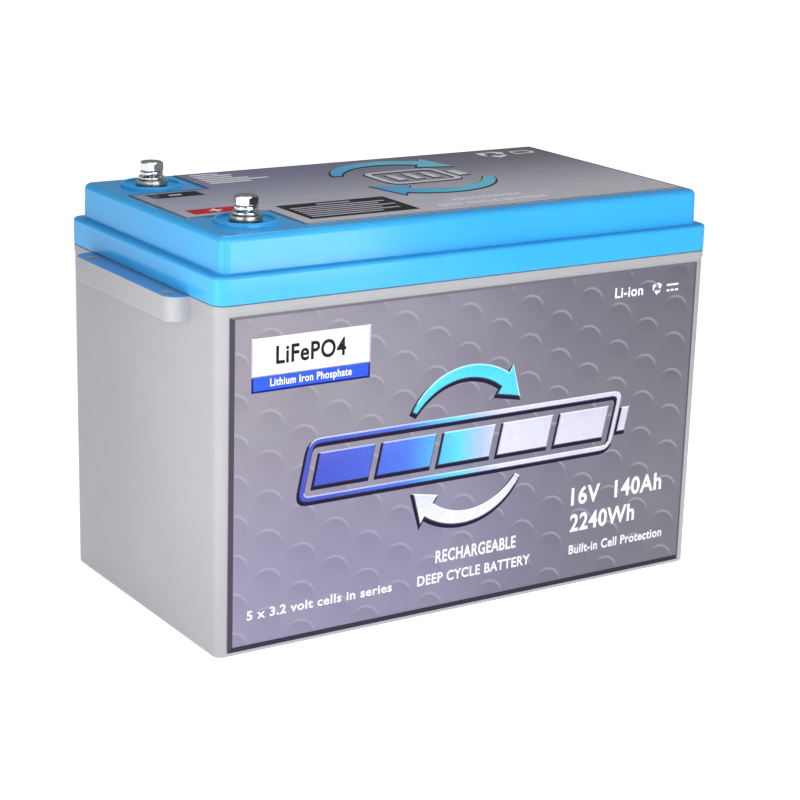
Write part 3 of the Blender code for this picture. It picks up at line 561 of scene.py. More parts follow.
def carve(mesh, steps):
    """The bmesh after joining on and cutting away other bmeshes, in order."""
    target = mesh_object("shape", mesh)
    tools = [target]
    for operation, tool in steps:
        modifier = target.modifiers.new("carve", "BOOLEAN")
        modifier.operation = operation
        modifier.solver = "EXACT"
        modifier.object = mesh_object("shape", tool)
        tools.append(modifier.object)
    evaluated = target.evaluated_get(bpy.context.evaluated_depsgraph_get())
    result = bmesh.new()
    result.from_mesh(evaluated.to_mesh())
    evaluated.to_mesh_clear()
    for tool in tools:
        bpy.data.objects.remove(tool)
    return result


def even_normals(obj):
    """Keep big flat faces flat where they meet small rounds."""
    modifier = obj.modifiers.new("even_normals", "WEIGHTED_NORMAL")
    modifier.keep_sharp = True
    return obj


def rounded_rectangle(half_x, half_y, radius, steps=CORNER_STEPS):
    points = []
    for quarter, (sx, sy) in enumerate(((1, 1), (-1, 1), (-1, -1), (1, -1))):
        for i in range(steps + 1):
            angle = math.radians(90) * (quarter + i / steps)
            x = sx * (half_x - radius) + radius * math.cos(angle)
            y = sy * (half_y - radius) + radius * math.sin(angle)
            points.append((x, y))
    return points


def ring(half_x, half_y, radius, z, centre=(0.0, 0.0), steps=CORNER_STEPS):
    outline = rounded_rectangle(half_x, half_y, radius, steps)
    return [(centre[0] + x, centre[1] + y, z) for x, y in outline]


def case_ring(inset, z, radius=None):
    """A level loop of the case, set in from the lid's skirt."""
    corner = max(CORNER - inset, 0.0015) if radius is None else radius
    return ring(HALF_X - inset, HALF_Y - inset, corner, z)


def block(half_x, half_y, low, high, centre, radius, steps=6):
    return loft_mesh([ring(half_x, half_y, radius, z, centre, steps) for z in (low, high)])


def around(centre, radius, angle, z):
    return (centre[0] + radius * math.cos(angle), centre[1] + radius * math.sin(angle), z)


def full_turn(steps):
    return [2 * math.pi * i / steps for i in range(steps)]


def circle(centre, radius, z, steps=ROUND):
    return [around(centre, radius, angle, z) for angle in full_turn(steps)]


def turned(centre, profile, steps=ROUND, closed=False):
    """A turned solid on a vertical axis from (radius, height) pairs."""
    return loft_mesh([circle(centre, radius, z, steps) for radius, z in profile], closed)


def arc(centre, radius, start, end, steps):
    """Points on an arc in a profile, angles in degrees."""
    points = []
    for i in range(steps + 1):
        angle = math.radians(start + (end - start) * i / steps)
        points.append((centre[0] + radius * math.cos(angle), centre[1] + radius * math.sin(angle)))
    return points


def tub_inset(z):
    """How far the tub's drafted wall stands in from the skirt at a height."""
    return TUB_INSET_LOW + (TUB_INSET_HIGH - TUB_INSET_LOW) * z / BAND_LOW


def ledge_outline(side, inset):
    radius = LEDGE_CORNER - inset
    outer = HALF_X + LEDGE_REACH - inset
    half = LEDGE_HALF - inset
    points = [(HALF_X - WALL / 2, -half)]
    points += arc((outer - radius, -half + radius), radius, -90, 0, 12)
    points += arc((outer - radius, half - radius), radius, 0, 90, 12)
    points.append((HALF_X - WALL / 2, half))
    return [(side * x, y) for x, y in points]


def ledge_steps(side):
    """The solids that join on a ledge and cut its pockets and rope holes."""
    low = LEDGE_TOP - LEDGE_HEIGHT
    levels = [(LEDGE_EDGE - x, low + LEDGE_EDGE + z) for x, z in arc((0, 0), LEDGE_EDGE, -90, 0, 4)]
    half = LEDGE_EDGE / 2
    levels += [(half - x, LEDGE_TOP - half + z) for x, z in arc((0, 0), half, 0, 90, 4)]
    ledge = loft_mesh([[(x, y, z) for x, y in ledge_outline(side, inset)] for inset, z in levels])
    steps = [("UNION", ledge)]
    inner = HALF_X + 0.0006
    outer = HALF_X + LEDGE_REACH - LEDGE_WALL
    pocket = (LEDGE_HALF - LEDGE_WALL) * 2 / 3
    for i in (-1, 0, 1):
        centre = (side * (inner + outer) / 2, i * pocket)
        half_y = pocket / 2 - (LEDGE_WALL / 2 if i == 0 else LEDGE_WALL / 4)
        top = LEDGE_TOP - LEDGE_WALL
        hollow = block((outer - inner) / 2, half_y, low - PAST, top, centre, 0.0012)
        steps.append(("DIFFERENCE", hollow))
    mouth = ROPE_HOLE_RADIUS + 0.0005
    for y in (-ROPE_HOLE_Y, ROPE_HOLE_Y):
        profile = [
            (ROPE_HOLE_RADIUS, low - PAST), (ROPE_HOLE_RADIUS, LEDGE_TOP - 0.0005),
            (mouth, LEDGE_TOP), (mouth, LEDGE_TOP + PAST),
        ]
        steps.append(("DIFFERENCE", turned((side * ROPE_HOLE_X, y), profile, 48)))
    return steps


def base_pockets():
    """Shallow moulded pockets under the floor, with ribs between them."""
    columns, rows = 4, 2
    rib = 0.0060
    margin = 0.0150
    depth = 0.0009
    span_x, span_y = 2 * (HALF_X - margin), 2 * (HALF_Y - margin)
    half_x = (span_x / columns - rib) / 2
    half_y = (span_y / rows - rib) / 2
    steps = []
    for i in range(columns):
        for j in range(rows):
            centre = (span_x * ((i + 0.5) / columns - 0.5), span_y * ((j + 0.5) / rows - 0.5))
            steps.append(("DIFFERENCE", block(half_x, half_y, -PAST, depth, centre, 0.0050)))
    return steps


def tub(materials):
    shoulder = SKIRT_BOTTOM - GAP
    foot = [(x, TUB_EDGE + z) for x, z in arc((0, 0), TUB_EDGE, -90, 0, 8)]
    levels = [(tub_inset(level) + TUB_EDGE - x, level) for x, level in foot]
    levels += [
        (TUB_INSET_HIGH, BAND_LOW), (BAND_INSET + 0.0001, BAND_LOW + 0.0003),
        (BAND_INSET, BAND_LOW + 0.0005), (BAND_INSET, shoulder - 0.0003), (BAND_INSET + 0.0003, shoulder),
        (TONGUE_OUTER_INSET, shoulder), (TONGUE_OUTER_INSET, TONGUE_TOP),
        (TONGUE_INNER_INSET, TONGUE_TOP), (TONGUE_INNER_INSET, FLOOR),
    ]
    loops = [case_ring(inset, z) for inset, z in levels]
    shell = carve(loft_mesh(loops), ledge_steps(-1) + ledge_steps(1) + base_pockets())
    slot = "case_grey"
    even_normals(add_piece("tub_shell", shell, [materials[slot]], replaces=["case_tub"]))


def boss_steps(centre):
    """The solids that join on a terminal boss and cut its hole."""
    rim = LID_TOP + BOSS_RIM
    floor = LID_TOP + BOSS_FLOOR
    half = BOSS_RIM_WIDTH / 2
    foot = 0.0006
    profile = [(BOSS_TUBE_RADIUS, LID_TOP - BOSS_DEPTH), (BOSS_TUBE_RADIUS, LID_TOP - 0.0020)]
    profile += [(BOSS_RADIUS + foot, LID_TOP - 0.0020), (BOSS_RADIUS + foot, LID_TOP)]
    profile += arc((BOSS_RADIUS + foot, LID_TOP + foot), foot, 270, 180, 4)[1:]
    profile += arc((BOSS_RADIUS - half, rim - half), half, 0, 180, 12)
    inner = BOSS_RADIUS - BOSS_RIM_WIDTH
    profile += arc((inner - 0.0004, floor + 0.0004), 0.0004, 0, -90, 3)
    hole = [
        (STEM_HOLE_RADIUS, LID_TOP - BOSS_DEPTH - PAST), (STEM_HOLE_RADIUS, floor - SEAL_POCKET_DEPTH),
        (SEAL_POCKET_RADIUS, floor - SEAL_POCKET_DEPTH), (SEAL_POCKET_RADIUS, floor + 0.004),
    ]
    return [("UNION", turned(centre, profile)), ("DIFFERENCE", turned(centre, hole))]


def lid(materials):
    """The shell runs from the ceiling down the inside, round the skirt's lip and up the outside."""
    levels = [
        (TIER_INSET + TIER_WALL, CEILING), (TIER_INSET + TIER_WALL, STEP_CEILING),
        (SKIRT_WALL, STEP_CEILING), (SKIRT_WALL, SKIRT_BOTTOM),
        (0.0005, SKIRT_BOTTOM), (0.00015, SKIRT_BOTTOM + 0.00015), (0.0, SKIRT_BOTTOM + 0.0005),
    ]
    bend = arc((0, 0), SHOULDER_ROUND, 0, 90, 8)
    levels += [(SHOULDER_ROUND - x, SKIRT_TOP - SHOULDER_ROUND + z) for x, z in bend]
    loops = [case_ring(inset, z) for inset, z in levels]
    corner = CORNER - 0.0010
    fillet = 0.0003
    loops.append(case_ring(TIER_INSET - fillet, SKIRT_TOP, corner + fillet))
    loops.append(case_ring(TIER_INSET, SKIRT_TOP + fillet, corner))
    for x, z in arc((0, 0), TIER_ROUND, 0, 90, 12):
        inset = TIER_INSET + TIER_DRAFT + TIER_ROUND - x
        radius = max(corner - (inset - TIER_INSET), 0.0025)
        loops.append(case_ring(inset, LID_TOP - TIER_ROUND + z, radius))
    steps = [step for centre in terminal_centres().values() for step in boss_steps(centre)]
    shell = carve(loft_mesh(loops), steps)
    slot = "lid_blue"
    even_normals(add_piece("lid_shell", shell, [materials[slot]], replaces=["lid"]))


def terminal_centres():
    middles = {tag: (low + high) / 2 for tag, (low, high) in PADS.items()}
    return {tag: (middle.x, middle.y) for tag, middle in middles.items()}


def thread_rows(centre, start, end, root, crest):
    """Loops up a right-hand thread whose ridges fade at both ends."""
    count = round((end - start) / THREAD_PITCH * 10)
    rows = []
    for i in range(count + 1):
        z = start + (end - start) * i / count
        fade = min(1.0, (z - start) / THREAD_PITCH, (end - z) / THREAD_PITCH)
        row = []
        for k, angle in enumerate(full_turn(FINE_ROUND)):
            turn = (z / THREAD_PITCH - k / FINE_ROUND) % 1.0
            ridge = min(max((1 - abs(2 * turn - 1) - 0.12) / 0.76, 0.0), 1.0)
            row.append(around(centre, root + (crest - root) * ridge * fade, angle, z))
        rows.append(row)
    return rows


def terminal(tag, centre, materials):
    """A plated pad with a chamfered, threaded bore."""
    low, high = PADS[tag][0].z, PADS[tag][1].z
    pad_low = high - PAD_HEIGHT
    mouth = BORE_RADIUS + 0.0004
    outside = [(STEM_RADIUS - 0.0004, low), (STEM_RADIUS, low + 0.0004), (STEM_RADIUS, pad_low)]
    outside += [(PAD_RADIUS - 0.0002, pad_low), (PAD_RADIUS, pad_low + 0.0002)]
    outside += arc((PAD_RADIUS - 0.0003, high - PAD_RIM_DROP - 0.0003), 0.0003, 0, 90, 4)
    outside += [(LAND_RADIUS + 0.0001, high - PAD_RIM_DROP), (LAND_RADIUS, high)]
    outside += [(mouth, high), (BORE_RADIUS, high - 0.0004)]
    loops = [circle(centre, radius, z, FINE_ROUND) for radius, z in outside]
    start, end = high - BORE_DEPTH, high - 0.0008
    loops += thread_rows(centre, start, end, BORE_RADIUS, BORE_RADIUS - 0.0002)[::-1]
    slot = "terminal_nickel"
    pad = loft_mesh(loops)
    add_piece(f"{tag}_terminal_pad", pad, [materials[slot]], replaces=[f"{tag}_terminal"])


def head_radius(angle):
    """The hex outline's radius, its corners a little blunted."""
    inside = (angle - HEAD_TURN + math.radians(30)) % math.radians(60) - math.radians(30)
    return min(HEAD_FLATS / 2 / math.cos(inside), HEAD_FLATS / math.sqrt(3) - 0.00012)


def head_loops(centre, seat, top):
    """A hex head: a round bearing face below, six flats, and a top chamfered by a shallow cone."""
    face = HEAD_FLATS / 2 * 0.94
    lift = 0.0003
    slope = math.tan(math.radians(28))

    def level(radius_of, height_of):
        corners = [(angle, radius_of(angle)) for angle in full_turn(FINE_ROUND)]
        return [around(centre, radius, angle, height_of(radius)) for angle, radius in corners]

    def chamfer(start):
        return lambda radius: start - (radius - face) * slope

    loops = [circle(centre, face, seat, FINE_ROUND), circle(centre, face, seat + lift, FINE_ROUND)]
    loops.append(level(head_radius, lambda radius: seat + lift))
    loops.append(level(head_radius, chamfer(top - 0.0001)))
    loops.append(level(lambda angle: (head_radius(angle) + face) / 2, chamfer(top - 0.00004)))
    for share, drop in ((1, 0), (0.80, 0), (0.74, 0.00012), (0.30, 0.00016)):
        loops.append(circle(centre, face * share, top - drop, FINE_ROUND))
    return loops


def steel_piece(name, mesh, body, node, materials, crease=30):
    add_piece(name, mesh, [materials["bolt_steel"]], body, [node], crease)


def bolt(tag, centre, materials):
    """A fully threaded M8 bolt."""
    low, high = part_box(f"{tag}_bolt")
    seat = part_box(f"{tag}_spring_washer")[1].z + GAP
    root = SHANK_RADIUS - 0.0006
    tip = ((root - 0.0010, low.z), (root, low.z + 0.0010))
    loops = [circle(centre, radius, z, FINE_ROUND) for radius, z in tip]
    loops += thread_rows(centre, low.z + 0.0011, seat - 0.0006, root, SHANK_RADIUS)
    loops.append(circle(centre, root + 0.0002, seat - 0.0003, FINE_ROUND))
    loops += head_loops(centre, seat, high.z)
    name = f"{tag}_bolt"
    steel_piece(f"{tag}_hex_bolt", loft_mesh(loops), name, name, materials, crease=24)


def flat_washer(tag, centre, materials):
    node = f"{tag}_flat_washer"
    low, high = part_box(node)
    outer = (high.x - low.x) / 2
    bore = WASHER_BORE
    edge = 0.0003
    profile = [(bore + edge / 2, low.z), (outer - edge, low.z)]
    profile += arc((outer - edge, low.z + edge), edge, -90, 0, 3)[1:]
    profile += arc((outer - edge, high.z - edge), edge, 0, 90, 3)
    profile += [(bore + edge / 2, high.z), (bore, high.z - edge / 2), (bore, low.z + edge / 2)]
    washer = turned(centre, profile, closed=True)
    steel_piece(f"{tag}_plain_washer", washer, f"{tag}_washers", node, materials)


def spring_washer(tag, centre, materials):
    """A split ring of square wire with rounded edges, climbing over almost one turn."""
    node = f"{tag}_spring_washer"
    low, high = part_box(node)
    outer, thick, edge = 0.0064, 0.0020, 0.00025
    rise = high.z - low.z - thick
    start, sweep, count = 18, 347, 90
    middle = (WASHER_BORE + outer) / 2
    section = rounded_rectangle((outer - WASHER_BORE) / 2, thick / 2, edge, 3)
    loops = []
    for i in range(count + 1):
        angle = math.radians(start + sweep * i / count)
        height = low.z + thick / 2 + rise * i / count
        loops.append([around(centre, middle + r, angle, height + z) for r, z in section])
    steel_piece(f"{tag}_split_washer", loft_mesh(loops), f"{tag}_washers", node, materials)


def foam_pad(node, materials):
    """A foam sheet with soft edges and a slightly uneven skin, inside its CAD box."""
    low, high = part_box(node)
    size = high - low
    cells = [max(2, min(40, round(side / 0.006))) for side in size]
    mesh = bmesh.new()
    bmesh.ops.create_cube(mesh, size=1.0)
    for axis, count in enumerate(cells):
        edges = [e for e in mesh.edges if abs((e.verts[0].co - e.verts[1].co)[axis]) > 0.5 / 40]
        bmesh.ops.subdivide_edges(mesh, edges=edges, cuts=count - 1, use_grid_fill=True)
    thin = min(size)
    for vert in mesh.verts:
        place = Vector([low[k] + size[k] * (vert.co[k] + 0.5) for k in range(3)])
        pull = 0.10 * thin * (0.5 + 0.5 * noise.noise(place * 60.0))
        rim = sum(abs(abs(c) - 0.5) < 1e-4 for c in vert.co)
        inward = Vector([-math.copysign(1.0, c) if abs(abs(c) - 0.5) < 1e-4 else 0.0 for c in vert.co])
        vert.co = place + inward * pull * (1.0 + 1.5 * (rim - 1))
    obj = add_piece(f"{node}_pad", mesh, [materials["foam"]], replaces=[node], crease=60)


def front_place(u, v, lift):
    return Vector((u, -(HALF_Y - tub_inset(v) + LABEL_TOP + lift), v))


def back_place(u, v, lift):
    return Vector((-u, HALF_Y - tub_inset(v) + LABEL_TOP + lift, v))


def top_place(u, v, lift):
    return Vector((u, v, LID_TOP + LABEL_TOP + lift))


def signed_area(points):
    return sum(a[0] * b[1] - b[0] * a[1] for a, b in zip(points, points[1:] + points[:1])) / 2


def inset_outline(points, amount):
    """The outline moved inwards, or outwards where the amount is negative."""
    points = [Vector(p) for p in points]
    sign = 1.0 if signed_area([tuple(p) for p in points]) > 0 else -1.0
    moved = []
    for i, here in enumerate(points):
        first = (here - points[i - 1]).normalized()
        second = (points[(i + 1) % len(points)] - here).normalized()
        before = Vector((-first.y, first.x)) * sign
        after = Vector((-second.y, second.x)) * sign
        shift = (before + after) / max(1 + before.dot(after), 0.5) * amount
        moved.append(here + shift)
    return moved


def soften(points, radius, steps=4):
    """The outline with each corner rounded."""
    points = [Vector(p) for p in points]
    result = []
    for i, here in enumerate(points):
        before = here + (points[i - 1] - here).normalized() * radius
        after = here + (points[(i + 1) % len(points)] - here).normalized() * radius
        for k in range(steps + 1):
            t = k / steps
            result.append(before * (1 - t) ** 2 + here * 2 * t * (1 - t) + after * t ** 2)
    return result


def slanted(left, right, low, high, lean=0.0):
    """A rectangle whose top leans to the right."""
    shift = lean * (high - low)
    return [(left, low), (right, low), (right + shift, high), (left + shift, high)]


def arc_arrow(centre, radius, half, start, end, head):
    """A bent arrow that widens along an arc, its angles in degrees; head is the arrow head's length."""
    turn = 1 if end > start else -1
    neck = end - turn * math.degrees(head / radius)

    def at(distance, angle):
        return around(centre, distance, math.radians(angle), 0.0)[:2]

    count = 24
    steps = [i / count for i in range(count + 1)]
    bend = [(start + (neck - start) * t, half * (0.40 + 0.60 * t ** 0.6)) for t in steps]
    outline = [at(radius + thick, a) for a, thick in bend]
    outline += [at(radius + half * 2.1, neck), at(radius, end), at(radius - half * 2.1, neck)]
    return outline + [at(radius - thick, a) for a, thick in bend[::-1]]


class Print:
    """Thin solids printed on one label, from SUNK up. (u, v) run across and up it as it is read."""

    def __init__(self, place, grow=0.0):
        self.place = place
        self.grow = grow
        self.mesh = bmesh.new()

    def wall(self, first, second, material=None):
        """Faces between two closed rows; on a bevel the shade goes by the way a face looks."""
        for i in range(len(first)):
            j = (i + 1) % len(first)
            face = self.mesh.faces.new((first[i][1], first[j][1], second[j][1], second[i][1]))
            if material is not None:
                face.material_index = material
                continue
            out = (first[i][0] + first[j][0] - second[i][0] - second[j][0]).normalized()
            light = out.dot(Vector((0.25, 0.97)))
            face.material_index = 1 if light > 0.35 else 3 if light < -0.35 else 2

    def row(self, outline, lift):
        points = [Vector(p) for p in outline]
        return [(p, self.mesh.verts.new(self.place(p.x, p.y, lift))) for p in points]

    def flat(self, outline, high, material=0):
        """A plain thin slab."""
        bottom, top = self.row(outline, SUNK), self.row(outline, high)
        self.wall(bottom, top, material)
        for row in (bottom, top):
            self.mesh.faces.new([vert for _, vert in row]).material_index = material

    def raised(self, outline, high, bevel):
        """A slab with a bevelled edge, shaded by material as if lit from above."""
        outline = inset_outline(outline, -self.grow)
        bottom = self.row(outline, SUNK)
        top = self.row(inset_outline(outline, bevel), high)
        self.wall(bottom, top)
        for row in (bottom, top):
            self.mesh.faces.new([vert for _, vert in row]).material_index = 0

    def frame(self, outer, inner, high, bevel, material=None):
        """A closed band between two outlines of equal length, bevelled on both edges."""
        outer, inner = inset_outline(outer, -self.grow), inset_outline(inner, self.grow)
        rows = [
            self.row(outer, SUNK),
            self.row(inset_outline(outer, bevel) if bevel else outer, high),
            self.row(inset_outline(inner, -bevel) if bevel else inner, high),
            self.row(inner, SUNK),
        ]
        self.wall(rows[0], rows[1], material)
        self.wall(rows[1], rows[2], material or 0)
        self.wall(rows[3], rows[2], material)
        self.wall(rows[3], rows[0], material or 0)

    def words(self, text, left, right, baseline, cap, high, bold):
        """Lettering squeezed into the given width and capital height."""
        mesh = letter_mesh(text, bold)
        xs = [v.co.x for v in mesh.verts]
        scale_u = (right - left) / (max(xs) - min(xs))
        scale_v = cap / CAPITAL
        first = min(xs)
        for vert in mesh.verts:
            lift = high if vert.co.z > 0 else SUNK
            u = left + (vert.co.x - first) * scale_u
            vert.co = self.place(u, baseline + vert.co.y * scale_v, lift)
        data = bpy.data.meshes.new("letters")
        mesh.to_mesh(data)
        mesh.free()
        self.mesh.from_mesh(data)
        bpy.data.meshes.remove(data)

    def finish(self, name, materials):
        return add_piece(name, self.mesh, materials, crease=20)


def letter_mesh(text, bold):
    """The built-in font's letters as closed solids 1 unit thick, in the font's own units."""
    data = bpy.data.curves.new("letters", "FONT")
    data.body = text
    data.extrude = 0.5
    data.offset = bold
    data.space_character = 1.08
    data.resolution_u = 4
    obj = link_object("letters", data)
    evaluated = obj.evaluated_get(bpy.context.evaluated_depsgraph_get())
    mesh = bmesh.new()
    mesh.from_mesh(evaluated.to_mesh())
    evaluated.to_mesh_clear()
    bpy.data.objects.remove(obj)
    bmesh.ops.remove_doubles(mesh, verts=mesh.verts, dist=1e-5)
    return mesh


CAPITAL = max(v.co.y for v in letter_mesh("H", 0.0).verts)

# Levels of the print above the label's face
SUNK = -0.00002
INK = 0.00004
SHADOW = 0.00005
PLATE = 0.00008
OVER = 0.00010
SIGN = 0.00015
BOLD = 0.026


def battery_sign(art, centre, half_x, half_y, stroke, lean, bars, bevel):
    """A battery outline with a terminal nub and charge bars, leaning to the right."""
    x, y = centre
    low, high = y - half_y, y + half_y
    left, right = x - half_x - lean * half_y, x + half_x - lean * half_y
    corner = 2 * stroke
    outer = soften(slanted(left, right, low, high, lean), corner)
    hollow = slanted(left + stroke, right - stroke, low + stroke, high - stroke, lean)
    inner = [p + Vector((lean * stroke, 0.0)) for p in soften(hollow, corner - stroke)]
    art.frame(outer, inner, SIGN, bevel)
    nub_low, nub_high = y - half_y * 0.42, y + half_y * 0.42
    nub_left = right + lean * (nub_low - low) + stroke * 0.35
    art.raised(slanted(nub_left, nub_left + stroke * 1.7, nub_low, nub_high, lean), SIGN, bevel)
    space = stroke * 1.25
    first = left + stroke + space
    pitch = (right - left - 2 * stroke - space) / bars
    bar_low, bar_high = low + stroke + space, high - stroke - space
    slide = lean * (bar_low - low)
    for i in range(bars):
        at = first + i * pitch + slide
        art.raised(slanted(at, at + pitch - space, bar_low, bar_high, lean), SIGN, bevel)


def inks(*names):
    return [INKS[name] for name in names]


def sign(name, place, draw, coats):
    """A raised sign over a flat dark copy, a little larger and moved down and left."""
    def shadow_place(u, v, lift):
        return place(u - 0.0008, v - 0.0011, min(lift, SHADOW))

    shadow = Print(shadow_place, grow=0.0008)
    draw(shadow)
    shadow.finish(f"{name}_shadow", inks("shadow") * 4)
    art = Print(place)
    draw(art)
    art.finish(name, coats)


def cycle_arrows(art, centre, radius, half, spans, bevel):
    for start, end in spans:
        art.raised(arc_arrow(centre, radius, half, start, end, half * 3.4), SIGN, bevel)


def recycling(art, centre, radius, half):
    """Three arrows that chase each other round a ring."""
    for i in range(3):
        start = 90 - 120 * i
        art.flat(arc_arrow(centre, radius, half, start, start - 104, half * 2.6), INK)


def bars(art, left, top, lengths, pitch, thick):
    """Rows of plain bars where small print would be."""
    for i, length in enumerate(lengths):
        high = top - i * pitch
        art.flat(slanted(left, left + length, high - thick, high), OVER)


SIDE_SIGN = Vector((-0.0040, 0.0960))
SIDE_RING = 0.0415
SIDE_SPANS = ((148, 33), (-32, -147))


def side_border(art):
    """Dark strips along the left and bottom edges, fainter ones along the top and right."""
    low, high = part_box("front_label")[0].z + 0.0001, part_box("front_label")[1].z - 0.0001
    left, right = LABEL_LEFT + 0.0001, LABEL_RIGHT - 0.0001
    wide, foot, thin = 0.0030, 0.0027, 0.0012
    inner_left, inner_right = left + wide, right - thin
    inner_low, inner_high = low + foot, high - thin
    strips = (
        [(left, low), (inner_left, inner_low), (inner_left, inner_high), (left, high)],
        [(left, low), (right, low), (inner_right, inner_low), (inner_left, inner_low)],
        [(left, high), (inner_left, inner_high), (inner_right, inner_high), (right, high)],
        [(right, low), (right, high), (inner_right, inner_high), (inner_right, inner_low)],
    )
    for material, strip in enumerate(strips):
        art.flat(strip, INK, material)


def side_plate(tag, place):
    """The bevelled white plate with its blue band, and the words on both."""
    left, right, low, middle, high = -0.1390, -0.0675, 0.1420, 0.1508, 0.1713
    bevel = 0.0014
    plate = Print(place)
    plate.raised(slanted(left, right, middle, high), PLATE, bevel)
    plate.finish(f"{tag}_plate", inks("white", "white", "pale_violet", "white"))
    band = Print(place)
    band.raised(slanted(left, right, low, middle), PLATE, bevel)
    band.finish(f"{tag}_band", inks("band_blue", "band_blue", "band_deep", "band_deep"))
    black = Print(place)
    black.words("LiFePO4", -0.1245, -0.0828, 0.1567, 0.0090, OVER, 0.024)
    black.finish(f"{tag}_black_print", inks("black"))


def side_words(tag, place):
    white = Print(place)
    white.words("Lithium Iron Phosphate", -0.1278, -0.0790, 0.1452, 0.0040, OVER, BOLD)
    for text, left, right, baseline, cap in (
        ("RECHARGEABLE", -0.0220, 0.0320, 0.0305, 0.0068),
        ("DEEP CYCLE BATTERY", -0.0335, 0.0425, 0.0188, 0.0055),
        ("16V  140Ah", 0.0698, 0.1355, 0.0493, 0.0098),
        ("2240Wh", 0.0698, 0.1165, 0.0333, 0.0098),
        ("Built-in Cell Protection", 0.0700, 0.1380, 0.0195, 0.0052),
        ("5 x 3.2 volt cells in series", -0.1400, -0.0500, 0.0192, 0.0048),
        ("Li-ion", 0.0930, 0.1130, 0.1680, 0.0056),
    ):
        white.words(text, left, right, baseline, cap, INK, BOLD)
    recycling(white, (0.1230, 0.1708), 0.0026, 0.0008)
    white.flat(slanted(0.1300, 0.1385, 0.1712, 0.1724), INK)
    for i in range(3):
        white.flat(slanted(0.1300 + 0.0031 * i, 0.1323 + 0.0031 * i, 0.1680, 0.1692), INK)
    white.finish(f"{tag}_white_print", inks("white"))


def side_art(tag, place, along):
    """Everything printed on a long side's label."""
    border = Print(place)
    side_border(border)
    border.finish(f"{tag}_border", inks("edge_left", "edge_foot", "edge_top", "edge_right"))

    def draw_battery(art):
        battery_sign(art, SIDE_SIGN, 0.1035, 0.0175, 0.0036, 0.21, 5, 0.0009)

    def draw_arrows(art):
        cycle_arrows(art, SIDE_SIGN, SIDE_RING, 0.0048, SIDE_SPANS, 0.0011)

    battery = sign_inks(f"{tag}_battery", SIGN_STOPS, along, SIGN_LEFT, SIGN_RIGHT)
    sign(f"{tag}_battery_sign", place, draw_battery, battery)
    low, high = SIDE_SIGN.y - SIDE_RING, SIDE_SIGN.y + SIDE_RING
    arrows = sign_inks(f"{tag}_arrows", ARROW_STOPS, "z", low, high)
    sign(f"{tag}_cycle_arrows", place, draw_arrows, arrows)
    side_plate(tag, place)
    side_words(tag, place)


def top_border(art):
    """A thin dark line round the lid's sheet."""
    low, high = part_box("top_label")
    notch_x, notch_y = -0.1000, 0.0345
    corners = [
        (high.x, low.y), (high.x, high.y), (notch_x, high.y), (notch_x, notch_y),
        (low.x, notch_y), (low.x, -notch_y), (notch_x, -notch_y), (notch_x, low.y),
    ]
    outer = inset_outline(corners, 0.0002)
    inner = inset_outline(corners, 0.0011)
    art.frame(outer, inner, INK, 0.0, 0)


def polarity_patches():
    """Black and red patches with a minus and a plus."""
    left, right, half = -0.1405, -0.1100, 0.0060
    minus, plus = 0.0240, -0.0225
    for tag, y, colour in (("negative", minus, "black"), ("positive", plus, "red")):
        patch = Print(top_place)
        patch.flat(slanted(left, right, y - half, y + half), INK)
        patch.finish(f"{tag}_patch", inks(colour))
    marks = Print(top_place)
    middle = (left + right) / 2
    arm, thick = 0.0038, 0.0011
    marks.flat(slanted(middle - arm, middle + arm, minus - thick, minus + thick), OVER)
    marks.flat(slanted(middle - arm, middle + arm, plus - thick, plus + thick), OVER)
    marks.flat(slanted(middle - thick, middle + thick, plus - arm, plus + arm), OVER + 0.00001)
    marks.finish("polarity_marks", inks("white"))


def top_panel():
    """The dark panel by the positive terminal, with plain bars for its small print."""
    left, right, low, high = -0.0915, -0.0240, -0.0640, -0.0260
    panel = Print(top_place)
    panel.flat(slanted(left, right, low, high), INK)
    panel.finish("top_panel", inks("black"))
    rows = Print(top_place)
    lengths = (0.058, 0.052, 0.060, 0.049, 0.057, 0.044)
    rows.flat(slanted(-0.0690, -0.0480, -0.0318, -0.0296), OVER)
    bars(rows, left + 0.0035, -0.0350, lengths, 0.0045, 0.0021)
    rows.finish("top_panel_rows", inks("soft_white"))
    small = Print(top_place)
    bars(small, -0.0925, 0.0720, (0.018, 0.024, 0.022, 0.030, 0.040, 0.026), 0.0050, 0.0022)
    small.finish("top_small_rows", inks("white"))


TOP_SIGN = Vector((0.0250, 0.0190))
TOP_RING = 0.0440
TOP_STOPS = ((0.0, (52, 190, 255)), (0.5, (90, 225, 255)), (1.0, (100, 230, 255)))
PALE_STOPS = ((0.0, (255, 255, 255)), (1.0, (250, 250, 255)))


